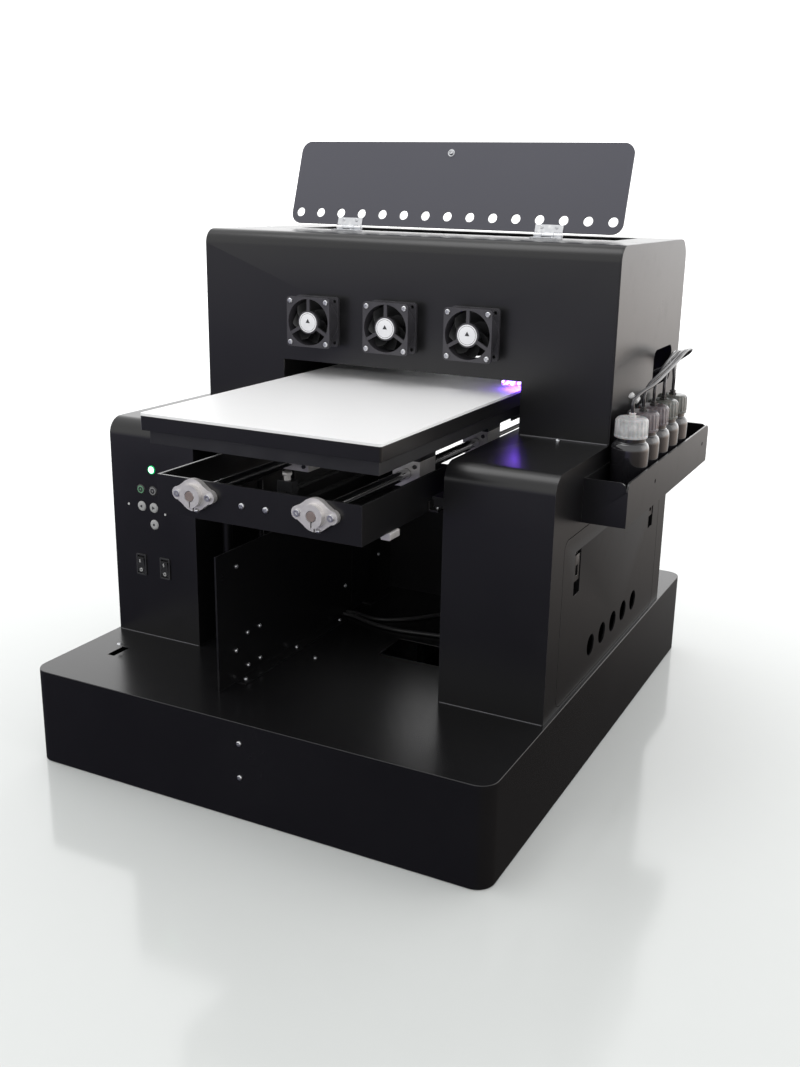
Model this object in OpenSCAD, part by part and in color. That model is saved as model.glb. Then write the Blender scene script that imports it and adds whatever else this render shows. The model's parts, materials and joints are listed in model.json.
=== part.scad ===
// Flatbed UV printer: a sheet-metal base with two towers, a housing over them, a lift frame
// that carries the bed on two rods, and a print carriage inside the housing.
// Drawn from the base's front left corner; x is right, y is back, z is up.

/* [Base] */
// Width of the base
base_w = 577; // [560:1:700]
// Depth of the base
base_d = 725; // [715:1:880]
// Height of the base
base_h = 114; // [95:1:140]
// Radius of the base's upright corners
base_r = 20; // [8:1:30]
// Thickness of the sheet metal
sheet = 2; // [1.5:0.1:2.5]

/* [Towers] */
// Width of each tower
tower_w = 123; // [110:1:125]
// Step from the base's side in to a tower
tower_in = 4; // [2:1:8]
// From the base's front to the towers' front
tower_y = 148; // [120:1:155]
// Height of the towers above the base
tower_h = 271; // [262:1:330]
// Outside radius of the bend over the towers' front
tower_r = 20; // [8:1:30]

/* [Housing] */
// Step from the left tower's outer side in to the housing
house_in = 22; // [5:1:40]
// From the towers' front to the housing's front
house_setback = 172; // [165:1:210]
// Depth of the housing
house_d = 285; // [280:1:345]
// Height of the housing above the towers
house_h = 218; // [210:1:265]
// Outside radius of the bend at the top front
front_bend = 18; // [8:1:25]
// Outside radius of the bend at the top back
back_bend = 25; // [8:1:30]
// Depth of the front cover's top strip
front_strip = 101; // [80:1:110]
// Width of the opening for the bed
mouth_w = 322; // [300:1:340]
// Height of that opening above the towers
mouth_h = 62; // [60:1:70]

/* [Lid] */
// Width of the lid
lid_w = 458; // [380:1:480]
// Length of the lid
lid_l = 114; // [90:1:130]
// How far the open lid leans back from upright
lid_lean = 18; // [0:1:30]
// Number of vent holes along the lid
lid_holes = 15; // [5:1:18]
// Diameter of a vent hole
lid_hole_d = 12; // [6:1:14]
// Width of a lid hinge
hinge_w = 36; // [24:1:50]
// Diameter of a lid hinge's pin
pin_d = 3; // [2:0.1:4]

/* [Fans] */
// Side of a fan's frame
fan_w = 60; // [50:1:70]
// Depth of a fan
fan_t = 25; // [15:1:30]
// Distance between fan centres
fan_pitch = 106; // [80:1:130]
// Height of the fans' centres above the towers
fan_up = 113; // [105:1:140]
// Number of blades on a fan
fan_blades = 7; // [5:1:9]

/* [Bed] */
// Width of the bed
bed_w = 282; // [240:1:300]
// Length of the bed
bed_l = 430; // [425:1:470]
// From the base's front to the bed's front
bed_y = 12; // [12:1:16]
// Height of the bed's surface above the towers
bed_up = 45; // [44:1:48]
// Thickness of the bed's white plate
bed_t = 3; // [2:0.5:5]
// Height of the bed's black skirt
skirt_h = 15; // [10:1:18]
// Gap between the bed and the right tower
bed_gap = 2; // [1:0.5:8]

/* [Lift frame] */
// Width of the lift frame
frame_w = 243; // [225:1:250]
// Height of the lift frame
frame_h = 41; // [38:1:46]
// Thickness of the frame's walls
frame_t = 3; // [2:0.5:4]
// From the bed's surface down to the frame's top
frame_drop = 62; // [60:1:66]
// Diameter of the bed's rods
rod_d = 12; // [10:1:14]
// Distance between the bed's rods
rod_gap = 144; // [130:1:150]
// Diameter of the lift's lead screws
screw_d = 8; // [6:1:10]

/* [Ink] */
// Diameter of an ink bottle
bottle_d = 42; // [34:1:50]
// Height of a bottle to its neck
bottle_h = 79; // [60:1:95]
// Number of bottles
bottles = 5; // [3:1:6]
// Height of the tray's walls
tray_h = 49; // [30:1:60]
// Length of the tray
tray_l = 370; // [360:1:380]

/* [Controls] */
// Diameter of a push button
button_d = 12; // [9:1:14]
// Height of a rocker switch's bezel
rocker_h = 27; // [22:1:32]
// Width of a rocker switch's bezel
rocker_w = 15; // [13:1:20]

/* [Hidden] */

$fn = 48;
eps = 0.01;
// Clearances: a shaft in its bore, a loose flat part, and parts that pass each other
run = 0.06;
loose = 0.5;
pass = 1;

// Colours
black = [0.035, 0.035, 0.045];
steel = [0.72, 0.73, 0.75];
dark = [0.08, 0.08, 0.09];

// Main planes
tower_top = base_h + tower_h;
gap_x0 = tower_in + tower_w;
gap_x1 = base_w - tower_in - tower_w;
side_x1 = base_w - tower_in;
house_x0 = tower_in + house_in;
house_x1 = side_x1;
house_y0 = tower_y + house_setback;
house_y1 = house_y0 + house_d;
house_top = tower_top + house_h;
house_cx = (house_x0 + house_x1) / 2;
seam_y = house_y0 + front_strip;
back_lap = 10;

// Bed and lift frame
bed_z = tower_top + bed_up;
bed_cx = gap_x1 - bed_gap - bed_w / 2;
bed_x0 = bed_cx - bed_w / 2;
frame_top = bed_z - frame_drop;
frame_z = frame_top - frame_h;
frame_x0 = bed_cx - frame_w / 2;
frame_x1 = bed_cx + frame_w / 2;
frame_l = base_d - 2 * bed_y;
rod_z = frame_top - 15;
block_w = rod_d + 22;
block_l = 40;
block_h = 30;
block_z = rod_z - block_h / 2;
front_block_y = 200;
rear_block_y = bed_y + bed_l - block_l - 12;
skirt_z = bed_z - bed_t - skirt_h;
carrier_z = skirt_z - 15;
carrier_in = 6;
lift_down = 50;
lift_up = 6;

// Lift guides: two rods and a screw on each side
lift_ys = [180, 320];
lift_mid = 250;
lift_x = [gap_x0 + 23, gap_x1 + 40];
lift_top = tower_top - sheet - 4;
arm_z = frame_z + 3;
arm_t = 12;
arm_y0 = lift_ys[0] - 15;
arm_y1 = lift_ys[1] + 15;
motor_w = 42;
motor_l = 40;

// Screens beside the lift, below the frame's lowest place
guard_x = frame_x0 + 39;
guard_top = frame_z - lift_down - 5;
guard_seam = tower_y + 198;
guard_back = guard_seam + 112;

// Carriage inside the housing
head_z = bed_z + 10;
rail_y = house_y0 + 92;
rail_z = head_z + 39;
rail_h = 12;
rail_t = 8;
carr_x = bed_cx + bed_w / 2 - 23;
carr_w = 100;
carr_y = house_y0 + 15;
belt_w = 6;
belt_r = 8;
x_belt_z = rail_z + 45;
x_belt_y = rail_y - 8;
x_belt_x0 = house_x0 + 34;
x_belt_x1 = house_x1 - 33;
y_belt_z = frame_z + 18;
y_belt_y0 = bed_y + 28;
y_belt_y1 = base_d - bed_y - 17 - motor_w / 2;

// Lid hinge line
hinge_y = seam_y + 19;
knuckle_r = pin_d / 2 + 1.5;
hinge_z = house_top + knuckle_r + 0.2;
lid_cx = house_cx + 6;
hinge_x = [lid_cx - 138, lid_cx + 138];

// Ink tray on the right side
tray_d = bottle_d + 5 + 2;
tray_x1 = side_x1 + tray_d;
tray_z = tower_top - 68;
tray_y0 = house_y1 - tray_l;
bottle_x = side_x1 + tray_d / 2 - 0.5;
bottle_y0 = tray_y0 + 85;
bottle_pitch = bottle_d + 2;
bottle_z = tray_z + sheet;
cap_r = bottle_d / 2 - 2.5;
cap_z = bottle_z + bottle_h;
cap_h = 22;
tube_d = 4;
port_y = house_y1 - 78;
port_z = tower_top + 68;

// Side door in the right cover
door_y0 = tower_y + 38;
door_y1 = house_y1 - 35;
door_z0 = base_h + 3;
door_z1 = tower_top - 78;
door_gap = 1;
vent_r = 13;
vent_ys = [for (i = [0 : 4]) tower_y + 152 + 43 * i];
vent_z = base_h + 38;
latch_ys = [tower_y + 85, house_y1 - 74];
latch_z = tower_top - 124;
latch_w = 20;
latch_h = 50;
latch_d = 12;

// Controls on the left tower
button_x = [tower_in + 44, tower_in + 62];
button_z = [tower_top - 83, tower_top - 104, tower_top - 125];
rocker_x = [tower_in + 39.5, tower_in + 75.5];
rocker_z = tower_top - 179;
rocker_tilt = 8;
led_x = tower_in + 61;
led_z = tower_top - 57;

// Routes of the ink tubes, from inside the side port out and over to each cap
tube_routes = [
    [[561, 557, 440], [568, 558, 443], [575, 558, 447], [584, 558, 453], [592, 556, 459],
     [600, 549, 465], [605, 540, 470], [608, 510, 474], [608, 485, 471], [608, 460, 466],
     [608, 410, 458], [606, 360, 450], [600, 332, 444], [597, 320, 437], [597, 320, 425]],
    [[561, 549, 440], [568, 550, 443], [575, 550, 447], [583, 549, 453], [590, 547, 459],
     [596, 541, 465], [601, 532, 470], [603, 519, 472], [603, 505, 472], [603, 485, 470],
     [603, 465, 466], [603, 425, 460], [601, 393, 454], [598, 374, 447], [597, 364, 438],
     [597, 364, 425]],
    [[561, 541, 440], [568, 542, 443], [575, 542, 447], [582, 541, 453], [588, 539, 458],
     [593, 532, 464], [597, 524, 469], [598, 512, 471], [598, 500, 472], [598, 485, 470],
     [598, 470, 468], [598, 445, 463], [598, 426, 456], [597, 413, 448], [597, 408, 438],
     [597, 408, 425]],
    [[561, 533, 440], [568, 534, 443], [574, 534, 447], [579, 533, 452], [584, 531, 458],
     [588, 525, 464], [592, 517, 468], [593, 508, 470], [593, 500, 470], [594, 492, 469],
     [594, 484, 467], [595, 470, 460], [596, 459, 450], [597, 452, 438], [597, 452, 425]],
    [[561, 525, 440], [567, 526, 443], [573, 526, 446], [578, 524, 451], [582, 522, 456],
     [585, 518, 460], [588, 514, 463], [590, 510, 464], [592, 505, 463], [594, 501, 460],
     [595, 498, 455], [596, 497, 448], [597, 496, 441], [597, 496, 433], [597, 496, 425]]];
// Routes of the two cables on the base's floor, from the screen to the right tower
cable_d = 5;
cable_routes = [
    [[227, 335, 116.5], [240, 335, 116.5], [256, 331, 116.5], [270, 329, 116.5],
     [286, 333, 116.5], [302, 343, 116.5], [314, 353, 116.5], [324, 364, 116.5],
     [334, 377, 116.5], [344, 390, 116.5], [356, 402, 116.5], [368, 412, 116.5],
     [383, 419, 116.5], [398, 424, 116.5], [414, 427, 116.5], [428, 429, 116.5],
     [450, 429, 116.5]],
    [[227, 325, 116.5], [242, 325, 116.5], [256, 320, 116.5], [270, 315, 116.5],
     [286, 311, 116.5], [302, 309, 116.5], [318, 309, 116.5], [334, 311, 116.5],
     [350, 314, 116.5], [366, 317, 116.5], [382, 320, 116.5], [398, 322, 116.5],
     [414, 323, 116.5], [430, 324, 116.5], [450, 324, 116.5]]];

// ---------- helpers ----------

// Puts the base's centre at the origin
module placed() {
    translate([-base_w / 2, -base_d / 2, 0]) children();
}

// A block between two corners
module block(x0, x1, y0, y1, z0, z1) {
    translate([x0, y0, z0]) cube([x1 - x0, y1 - y0, z1 - z0]);
}

// Rectangle with round corners, its corner at the origin
module round_rect(w, h, r) {
    translate([r, 0]) square([w - 2 * r, h]);
    translate([0, r]) square([w, h - 2 * r]);
    for (x = [r, w - r], y = [r, h - r]) translate([x, y]) circle(r);
}

// Rectangle with its two upper corners rounded by their own radii
module top_round_rect(w, h, r0, r1) {
    translate([r0, 0]) square([w - r0 - r1, h]);
    square([r0 + eps, h - r0]);
    translate([w - r1 - eps, 0]) square([r1 + eps, h - r1]);
    translate([r0, h - r0]) circle(r0);
    translate([w - r1, h - r1]) circle(r1);
}

// Extrudes a (y, z) outline along x, from x0
module along_x(x0, t) {
    translate([x0, 0, 0]) rotate([90, 0, 90]) linear_extrude(t) children();
}

// Extrudes an (x, z) outline along y, from y0
module along_y(y0, t) {
    translate([0, y0 + t, 0]) rotate([90, 0, 0]) linear_extrude(t) children();
}

// A cylinder along y
module rod_y(x, y0, z, r, l) {
    translate([x, y0, z]) rotate([-90, 0, 0]) cylinder(r = r, h = l);
}

// A cylinder along x
module rod_x(x0, y, z, r, l) {
    translate([x0, y, z]) rotate([0, 90, 0]) cylinder(r = r, h = l);
}

// A sheet bent over the front: upright at y0, then level at z1, back to y1
module bent_sheet(x0, x1, y0, y1, z0, z1, r) {
    along_x(x0, x1 - x0) difference() {
        translate([y0, z0]) top_round_rect(y1 - y0, z1 - z0, r, eps);
        translate([y0 + sheet, z0 - 1])
            top_round_rect(y1 - y0, z1 - z0 - sheet + 1, r - sheet, eps);
    }
}

// A screw's pan head along +z
module screw_head(r = 3, h = 1.8) {
    difference() {
        cylinder(r = r, h = h);
        translate([0, 0, h / 2]) cylinder(r = r * 0.45, h = h, $fn = 6);
    }
}

// A belt loop around two centres, in the (long, across) plane
module belt_outline(l, r, t) {
    difference() {
        union() {
            translate([0, -r - t]) square([l, 2 * (r + t)]);
            for (x = [0, l]) translate([x, 0]) circle(r + t);
        }
        translate([0, -r]) square([l, 2 * r]);
        for (x = [0, l]) translate([x, 0]) circle(r);
    }
}

function at(p, i) = p[min(max(i, 0), len(p) - 1)];
function unit(v) = v / norm(v);
function tangent(p, i) = unit(at(p, i + 1) - at(p, i - 1));

// A round tube along a route; side is never parallel to it
module tube(route, d, side, sides = 8) {
    n = len(route);
    points = [for (i = [0 : n - 1])
        let (t = tangent(route, i), u = unit(cross(t, side)), v = cross(t, u))
        for (k = [0 : sides - 1])
            route[i] + d / 2 * (cos(360 * k / sides) * u + sin(360 * k / sides) * v)];
    walls = [for (i = [0 : n - 2], k = [0 : sides - 1])
        let (m = (k + 1) % sides)
        [i * sides + k, i * sides + m, (i + 1) * sides + m, (i + 1) * sides + k]];
    polyhedron(points, concat(walls, [[for (k = [sides - 1 : -1 : 0]) k]],
                              [[for (k = [0 : sides - 1]) (n - 1) * sides + k]]));
}

// ---------- base ----------

module base_cover() {
    color(black) placed() difference() {
        linear_extrude(base_h) round_rect(base_w, base_d, base_r);
        translate([sheet, sheet, -1]) linear_extrude(base_h - sheet + 1)
            round_rect(base_w - 2 * sheet, base_d - 2 * sheet, base_r - sheet);
        // service opening in the floor between the towers
        block(gap_x1 - 121, gap_x1 - 30, 237, 291, base_h - 10, base_h + 1);
        for (x = lift_x) translate([x, lift_mid, base_h - 10]) cylinder(r = screw_d / 2 + 3, h = 20);
    }
}

module base_plate() {
    color(black) placed() translate([sheet, sheet, 0]) linear_extrude(sheet)
        round_rect(base_w - 2 * sheet, base_d - 2 * sheet, base_r - sheet);
}

// ---------- towers ----------

module tower_side(x0) {
    along_x(x0, sheet) translate([tower_y, base_h])
        top_round_rect(house_y1 - tower_y, tower_h, tower_r, eps);
}

module control_holes() {
    for (b = button_at) rod_y(b[0], tower_y - 5, b[1], button_d / 2 + loose, 15);
    rod_y(led_x, tower_y - 5, led_z, 4.2, 15);
    for (x = rocker_x)
        block(x - rocker_w / 2 + 1, x + rocker_w / 2 - 1, tower_y - 5, tower_y + 5,
              rocker_z - rocker_h / 2 + 1, rocker_z + rocker_h / 2 - 1);
}

// The five buttons' centres, in their nodes' order
button_at = [[button_x[0], button_z[0]], [button_x[1], button_z[0]], [button_x[0], button_z[1]],
             [button_x[1], button_z[1]], [button_x[1], button_z[2]]];

module left_cover() {
    color(black) placed() difference() {
        union() {
            tower_side(tower_in);
            bent_sheet(tower_in + sheet, gap_x0, tower_y, house_y1 - sheet, base_h, tower_top,
                       tower_r);
        }
        control_holes();
        for (y = vent_ys) rod_x(tower_in - 1, y, vent_z, vent_r, 10);
    }
}

module right_cover() {
    color(black) placed() difference() {
        union() {
            tower_side(side_x1 - sheet);
            bent_sheet(gap_x1, side_x1 - sheet, tower_y, house_y1 - sheet, base_h, tower_top,
                       tower_r);
        }
        along_x(side_x1 - 5, 10) translate([door_y0 - door_gap, door_z0 - door_gap])
            round_rect(door_y1 - door_y0 + 2 * door_gap, door_z1 - door_z0 + 2 * door_gap, 13);
    }
}

// A tower's inner wall, under its bent cover
module tower_wall(x0) {
    along_x(x0, sheet) translate([tower_y + sheet, base_h])
        top_round_rect(house_y1 - tower_y - 2 * sheet, tower_h - sheet, tower_r - sheet, eps);
}

// Inner walls of the towers, the two screens beside the lift and the screen behind the floor
module inner_panels() {
    color(black) placed() {
        tower_wall(gap_x0 - sheet);
        difference() {
            tower_wall(gap_x1);
            block(gap_x1 - 1, gap_x1 + sheet + 1, arm_y0 - pass, arm_y1 + pass,
                  arm_z - lift_down - pass, arm_z + arm_t + lift_up + pass);
        }
        for (s = [[bed_y + 40, guard_seam], [guard_seam + 2, guard_back]]) {
            block(guard_x, guard_x + sheet, s[0], s[1], base_h, guard_top);
            block(guard_x + sheet, guard_x + 16, s[0] + 30, s[1] - 30, base_h, base_h + sheet);
        }
        block(guard_x, gap_x1, guard_back, guard_back + sheet, base_h, guard_top);
    }
}

module rear_panel() {
    color(black) placed() difference() {
        union() {
            block(tower_in + sheet, side_x1 - sheet, house_y1 - sheet, house_y1, base_h, tower_top);
            block(house_x0 + sheet, house_x1 - sheet, house_y1 - sheet, house_y1, tower_top,
                  house_top - back_bend - back_lap);
        }
        // the bed and its frame pass out through here
        block(bed_x0 - 6, gap_x1, house_y1 - 9, house_y1 + 9, guard_top - 8, bed_z + 20);
        block(gap_x1 + 36, gap_x1 + 66, house_y1 - 9, house_y1 + 9, base_h + 36, base_h + 58);
        block(gap_x1 + 44, gap_x1 + 58, house_y1 - 9, house_y1 + 9, base_h + 84, base_h + 96);
        for (i = [0 : 6]) block(house_cx - 70, house_cx + 70, house_y1 - 9, house_y1 + 9,
                                tower_top + 96 + 12 * i, tower_top + 100 + 12 * i);
    }
}

// ---------- housing ----------

fan_x = [house_cx - fan_pitch, house_cx, house_cx + fan_pitch];
fan_z = tower_top + fan_up;

module housing_cover() {
    color(black) placed() difference() {
        bent_sheet(house_x0 + sheet, house_x1 - sheet, house_y0, seam_y, tower_top, house_top,
                   front_bend);
        block(bed_x0 - 24, bed_x0 - 24 + mouth_w, house_y0 - 1, house_y0 + 9, tower_top - 1,
              tower_top + mouth_h);
        for (x = fan_x) rod_y(x, house_y0 - 1, fan_z, fan_w / 2 - 2, 10);
    }
}

module housing_sides() {
    color(black) placed() {
        for (x = [house_x0, house_x1 - sheet]) difference() {
            along_x(x, sheet) translate([house_y0, tower_top])
                top_round_rect(house_d, house_h, front_bend, back_bend);
            if (x > house_cx) along_x(x - 1, sheet + 2)
                translate([port_y - 42, port_z - 26]) round_rect(85, 45, 12);
        }
    }
}

module top_panel() {
    color(black) placed() difference() {
        along_x(house_x0 + sheet, house_x1 - house_x0 - 2 * sheet) difference() {
            translate([seam_y + 1, house_top - back_bend - back_lap])
                top_round_rect(house_y1 - seam_y - 1, back_bend + back_lap, eps, back_bend);
            translate([seam_y, house_top - back_bend - back_lap - 1])
                top_round_rect(house_y1 - seam_y - sheet, back_bend + back_lap + 1 - sheet, eps,
                               back_bend - sheet);
        }
        block(lid_cx - lid_w / 2 + 10, lid_cx + lid_w / 2 - 10, hinge_y + 10, hinge_y + lid_l - 8,
              house_top - 5, house_top + 1);
    }
}

// ---------- lid ----------

// Turns the lid's own upright drawing to its open place on the hinge line
module on_hinge(a) {
    translate([0, hinge_y, hinge_z]) rotate([-a, 0, 0]) children();
}

module lid() {
    color([0.12, 0.12, 0.15]) placed() on_hinge(lid_lean) difference() {
        along_y(0.6, sheet) difference() {
            translate([lid_cx - lid_w / 2, 4]) round_rect(lid_w, lid_l - 4, 14);
            for (i = [0 : lid_holes - 1])
                translate([lid_cx + (i - (lid_holes - 1) / 2) * (lid_w - 26) / (lid_holes - 1), 19])
                    circle(lid_hole_d / 2);
        }
    }
}

module lid_hinge_leaves() {
    color(steel) placed() on_hinge(lid_lean) for (x = hinge_x) difference() {
        union() {
            rod_x(x - hinge_w / 2 + 10.3, 0, 0, knuckle_r, hinge_w - 20.6);
            block(x - hinge_w / 2 + 10.3, x + hinge_w / 2 - 10.3, -0.6, 0.6, 0, knuckle_r + 1);
            block(x - hinge_w / 2, x + hinge_w / 2, -0.6, 0.6, knuckle_r + 0.5, 13);
        }
        rod_x(x - hinge_w, 0, 0, pin_d / 2 + run, 2 * hinge_w);
    }
}

module lid_hinge_bases() {
    color(steel) placed() for (x = hinge_x) {
        difference() {
            union() {
                block(x - hinge_w / 2, x + hinge_w / 2, hinge_y - 16, hinge_y - knuckle_r - 1,
                      house_top, house_top + 1.2);
                for (k = [x - hinge_w / 2, x + hinge_w / 2 - 10]) {
                    block(k, k + 10, hinge_y - knuckle_r - 1 - eps, hinge_y, house_top,
                          house_top + 1.2);
                    rod_x(k, hinge_y, hinge_z, knuckle_r, 10);
                    block(k, k + 10, hinge_y - 2, hinge_y + 2, house_top, hinge_z);
                }
            }
            rod_x(x - hinge_w, hinge_y, hinge_z, pin_d / 2, 2 * hinge_w);
        }
        rod_x(x - hinge_w / 2 - 0.5, hinge_y, hinge_z, pin_d / 2, hinge_w + 1);
    }
}

// ---------- fans ----------

fan_y = house_y0 - fan_t;
fan_axle_r = 2;

module fan_frame(x) {
    difference() {
        union() {
            for (y = [fan_y, house_y0 - 4]) along_y(y, 4)
                translate([x - fan_w / 2, fan_z - fan_w / 2]) round_rect(fan_w, fan_w, 4);
            rod_y(x, fan_y + 1, fan_z, fan_w / 2 - 0.5, fan_t - 2);
        }
        rod_y(x, fan_y - 1, fan_z, fan_w / 2 - 2, fan_t + 2);
        for (dx = [-25, 25], dz = [-25, 25])
            rod_y(x + dx, fan_y - 1, fan_z + dz, 2.2, fan_t + 2);
    }
    rod_y(x, fan_y + 0.2, fan_z, 14, 3.8);
    rod_y(x, fan_y + 3, fan_z, fan_axle_r, fan_t - 7);
    for (a = [0, 120, 240]) translate([x, fan_y + 0.4, fan_z]) rotate([0, a, 0])
        block(-2, 2, 0, 3.2, 13, fan_w / 2 - 1);
}

module fan_frames() {
    color(dark) placed() for (x = fan_x) fan_frame(x);
}

module fan_rotor(x) {
    color(dark) placed() difference() {
        union() {
            rod_y(x, fan_y + 5, fan_z, 13, fan_t - 8);
            for (i = [0 : fan_blades - 1]) translate([x, fan_y + 13, fan_z])
                rotate([0, 360 / fan_blades * i, 0]) rotate([0, 0, 40])
                    block(-7, 7, -0.8, 0.8, 11, fan_w / 2 - 4);
        }
        rod_y(x, fan_y + 4, fan_z, fan_axle_r + run, fan_t);
    }
}

module fan_rotor_left() { fan_rotor(fan_x[0]); }
module fan_rotor_middle() { fan_rotor(fan_x[1]); }
module fan_rotor_right() { fan_rotor(fan_x[2]); }

// ---------- controls ----------

module panel_leds() {
    color([0.2, 0.95, 0.4]) placed() {
        rod_y(led_x, tower_y - 2, led_z, 4, 10);
        for (p = [[tower_in + 24, button_z[1]], [tower_in + 83, button_z[0] - 10],
                  [tower_in + 79, button_z[1] - 6]])
            rod_y(p[0], tower_y - 1, p[1], 1.5, 1);
    }
}

module button(i) {
    color(dark) placed() {
        rod_y(button_at[i][0], tower_y - 1.5, button_at[i][1], button_d / 2, 6);
        rod_y(button_at[i][0], tower_y + sheet + 0.2, button_at[i][1], button_d / 2 + 2, 2);
    }
}

module button_up() { button(0); }
module button_down() { button(1); }
module button_back() { button(2); }
module button_forward() { button(3); }
module button_home() { button(4); }

rocker_y = tower_y + 3;

module rocker_bezels() {
    color(dark) placed() for (x = rocker_x) difference() {
        union() {
            along_y(tower_y - 1.5, 1.5) translate([x - rocker_w / 2, rocker_z - rocker_h / 2])
                round_rect(rocker_w, rocker_h, 1.5);
            block(x - rocker_w / 2 + 1, x + rocker_w / 2 - 1, tower_y, tower_y + 17,
                  rocker_z - rocker_h / 2 + 1, rocker_z + rocker_h / 2 - 1);
        }
        block(x - rocker_w / 2 + 2, x + rocker_w / 2 - 2, tower_y - 5, tower_y + 13,
              rocker_z - rocker_h / 2 + 2, rocker_z + rocker_h / 2 - 2);
    }
}

module rocker(x, tilt) {
    h = rocker_h / 2 - 3.5;
    color(black) placed() translate([x, rocker_y, rocker_z]) rotate([tilt, 0, 0]) {
        block(-rocker_w / 2 + 2.5, rocker_w / 2 - 2.5, -5, 2, -h, h);
        rod_x(-rocker_w / 2 + 2.1, 0, 0, 1.5, rocker_w - 4.2);
    }
}

module rocker_left() { rocker(rocker_x[0], rocker_tilt); }
module rocker_right() { rocker(rocker_x[1], rocker_tilt); }

// ---------- ink ----------

module bottle_tray() {
    color(black) placed() {
        block(side_x1, tray_x1, tray_y0, house_y1, tray_z, tray_z + sheet);
        block(side_x1, side_x1 + sheet, tray_y0 + sheet, house_y1 - sheet, tray_z, tray_z + tray_h);
        difference() {
            along_x(tray_x1 - sheet, sheet) translate([tray_y0, tray_z])
                top_round_rect(tray_l, tray_h, 10, 10);
            for (y = [tray_y0 + 110, house_y1 - 30]) rod_x(tray_x1 - 5, y, tray_z + 28, 2.5, 10);
        }
        for (y = [tray_y0, house_y1 - sheet]) along_y(y, sheet) translate([side_x1, tray_z])
            top_round_rect(tray_d - sheet, tray_h, eps, 8);
    }
}

module ink_bottles() {
    r = bottle_d / 2;
    color(black) placed() for (i = [0 : bottles - 1])
        translate([bottle_x, bottle_y0 + i * bottle_pitch, bottle_z]) {
            cylinder(r = r, h = bottle_h - 16);
            translate([0, 0, bottle_h - 16]) rotate_extrude() {
                square([r - 8, 9]);
                translate([r - 8, 0]) intersection() { circle(8); square(9); }
            }
            translate([0, 0, bottle_h - 10]) cylinder(r = cap_r - 4, h = 10);
        }
}

module bottle_caps() {
    color([0.55, 0.53, 0.55]) placed() for (i = [0 : bottles - 1])
        translate([bottle_x, bottle_y0 + i * bottle_pitch, cap_z]) {
            cylinder(r = cap_r, h = cap_h);
            translate([0, 0, cap_h]) cylinder(r = 3.5, h = 5);
        }
}

module ink_tubes() {
    color(dark) placed() for (route = tube_routes) tube(route, tube_d, [1, 1, 0]);
}

module floor_cables() {
    color(dark) placed() for (route = cable_routes) tube(route, cable_d, [0, 0, 1], 10);
}

// ---------- lift guides ----------

module lift_rods() {
    color(steel) placed() for (x = lift_x, y = lift_ys)
        translate([x, y, base_h]) cylinder(r = rod_d / 2, h = lift_top - base_h);
}

module lift_mounts() {
    color(dark) placed() {
        for (x = lift_x, y = lift_ys) difference() {
            translate([x, y, base_h]) cylinder(r = rod_d / 2 + 8, h = 12);
            translate([x, y, base_h - 1]) cylinder(r = rod_d / 2, h = 20);
        }
        for (s = [[gap_x0, lift_x[0] + 13], [gap_x1 + sheet, lift_x[1] + 16]]) difference() {
            block(s[0], s[1], lift_ys[0] - 20, lift_ys[1] + 20, lift_top - 8, lift_top);
            for (x = lift_x, y = lift_ys)
                translate([x, y, lift_top - 20]) cylinder(r = rod_d / 2, h = 30);
            for (x = lift_x) translate([x, lift_mid, lift_top - 20])
                cylinder(r = screw_d / 2 + run, h = 30);
        }
    }
}

// A stepper motor with its boss along +z, its front face at the origin
module stepper() {
    difference() {
        union() {
            translate([-motor_w / 2, -motor_w / 2, -motor_l]) linear_extrude(motor_l)
                round_rect(motor_w, motor_w, 4);
            cylinder(r = 11, h = 1.5);
        }
        translate([0, 0, -12]) cylinder(r = screw_d / 2 + run, h = 20);
    }
}

module stepper_motors() {
    color(dark) placed() {
        for (x = lift_x) translate([x, lift_mid, base_h - sheet - 1.6]) stepper();
        translate([x_belt_x0, rail_y + 1, x_belt_z]) rotate([90, 0, 0]) stepper();
    }
}

module lift_screw(x) {
    color(steel) placed() translate([x, lift_mid, base_h - sheet - 12])
        cylinder(r = screw_d / 2, h = lift_top - base_h + sheet + 11);
}

module lift_screw_left() { lift_screw(lift_x[0]); }
module lift_screw_right() { lift_screw(lift_x[1]); }

module lift_arms() {
    color(dark) placed() for (s = [[lift_x[0] - 14, frame_x0, lift_x[0]],
                                   [frame_x1, lift_x[1] + 14, lift_x[1]]]) difference() {
        union() {
            block(s[0], s[1], arm_y0, arm_y1, arm_z, arm_z + arm_t);
            for (y = lift_ys) translate([s[2], y, arm_z - 12])
                cylinder(r = rod_d / 2 + 4.5, h = arm_t + 24);
            translate([s[2], lift_mid, arm_z - 4]) cylinder(r = screw_d / 2 + 7, h = arm_t + 8);
        }
        for (y = lift_ys) translate([s[2], y, arm_z - 20]) cylinder(r = rod_d / 2 + run, h = 60);
        translate([s[2], lift_mid, arm_z - 20]) cylinder(r = screw_d / 2 + run, h = 60);
    }
}

// ---------- lift frame ----------

rod_x_at = [bed_cx - rod_gap / 2, bed_cx + rod_gap / 2];

module y_frame() {
    y0 = bed_y;
    y1 = bed_y + frame_l;
    color(black) placed() difference() {
        block(frame_x0, frame_x1, y0, y1, frame_z, frame_top);
        block(frame_x0 + frame_t, frame_x1 - frame_t, y0 + frame_t, y1 - frame_t,
              frame_z + frame_t, frame_top + 1);
        block(frame_x0 + 16, frame_x1 - 16, y0 + 16, y1 - 16, frame_z - 1, frame_top);
        for (x = rod_x_at) rod_y(x, y0 - 1, rod_z, rod_d / 2, frame_l + 2);
    }
}

module y_rods() {
    color(steel) placed() for (x = rod_x_at) rod_y(x, 0, rod_z, rod_d / 2, base_d);
}

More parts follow.
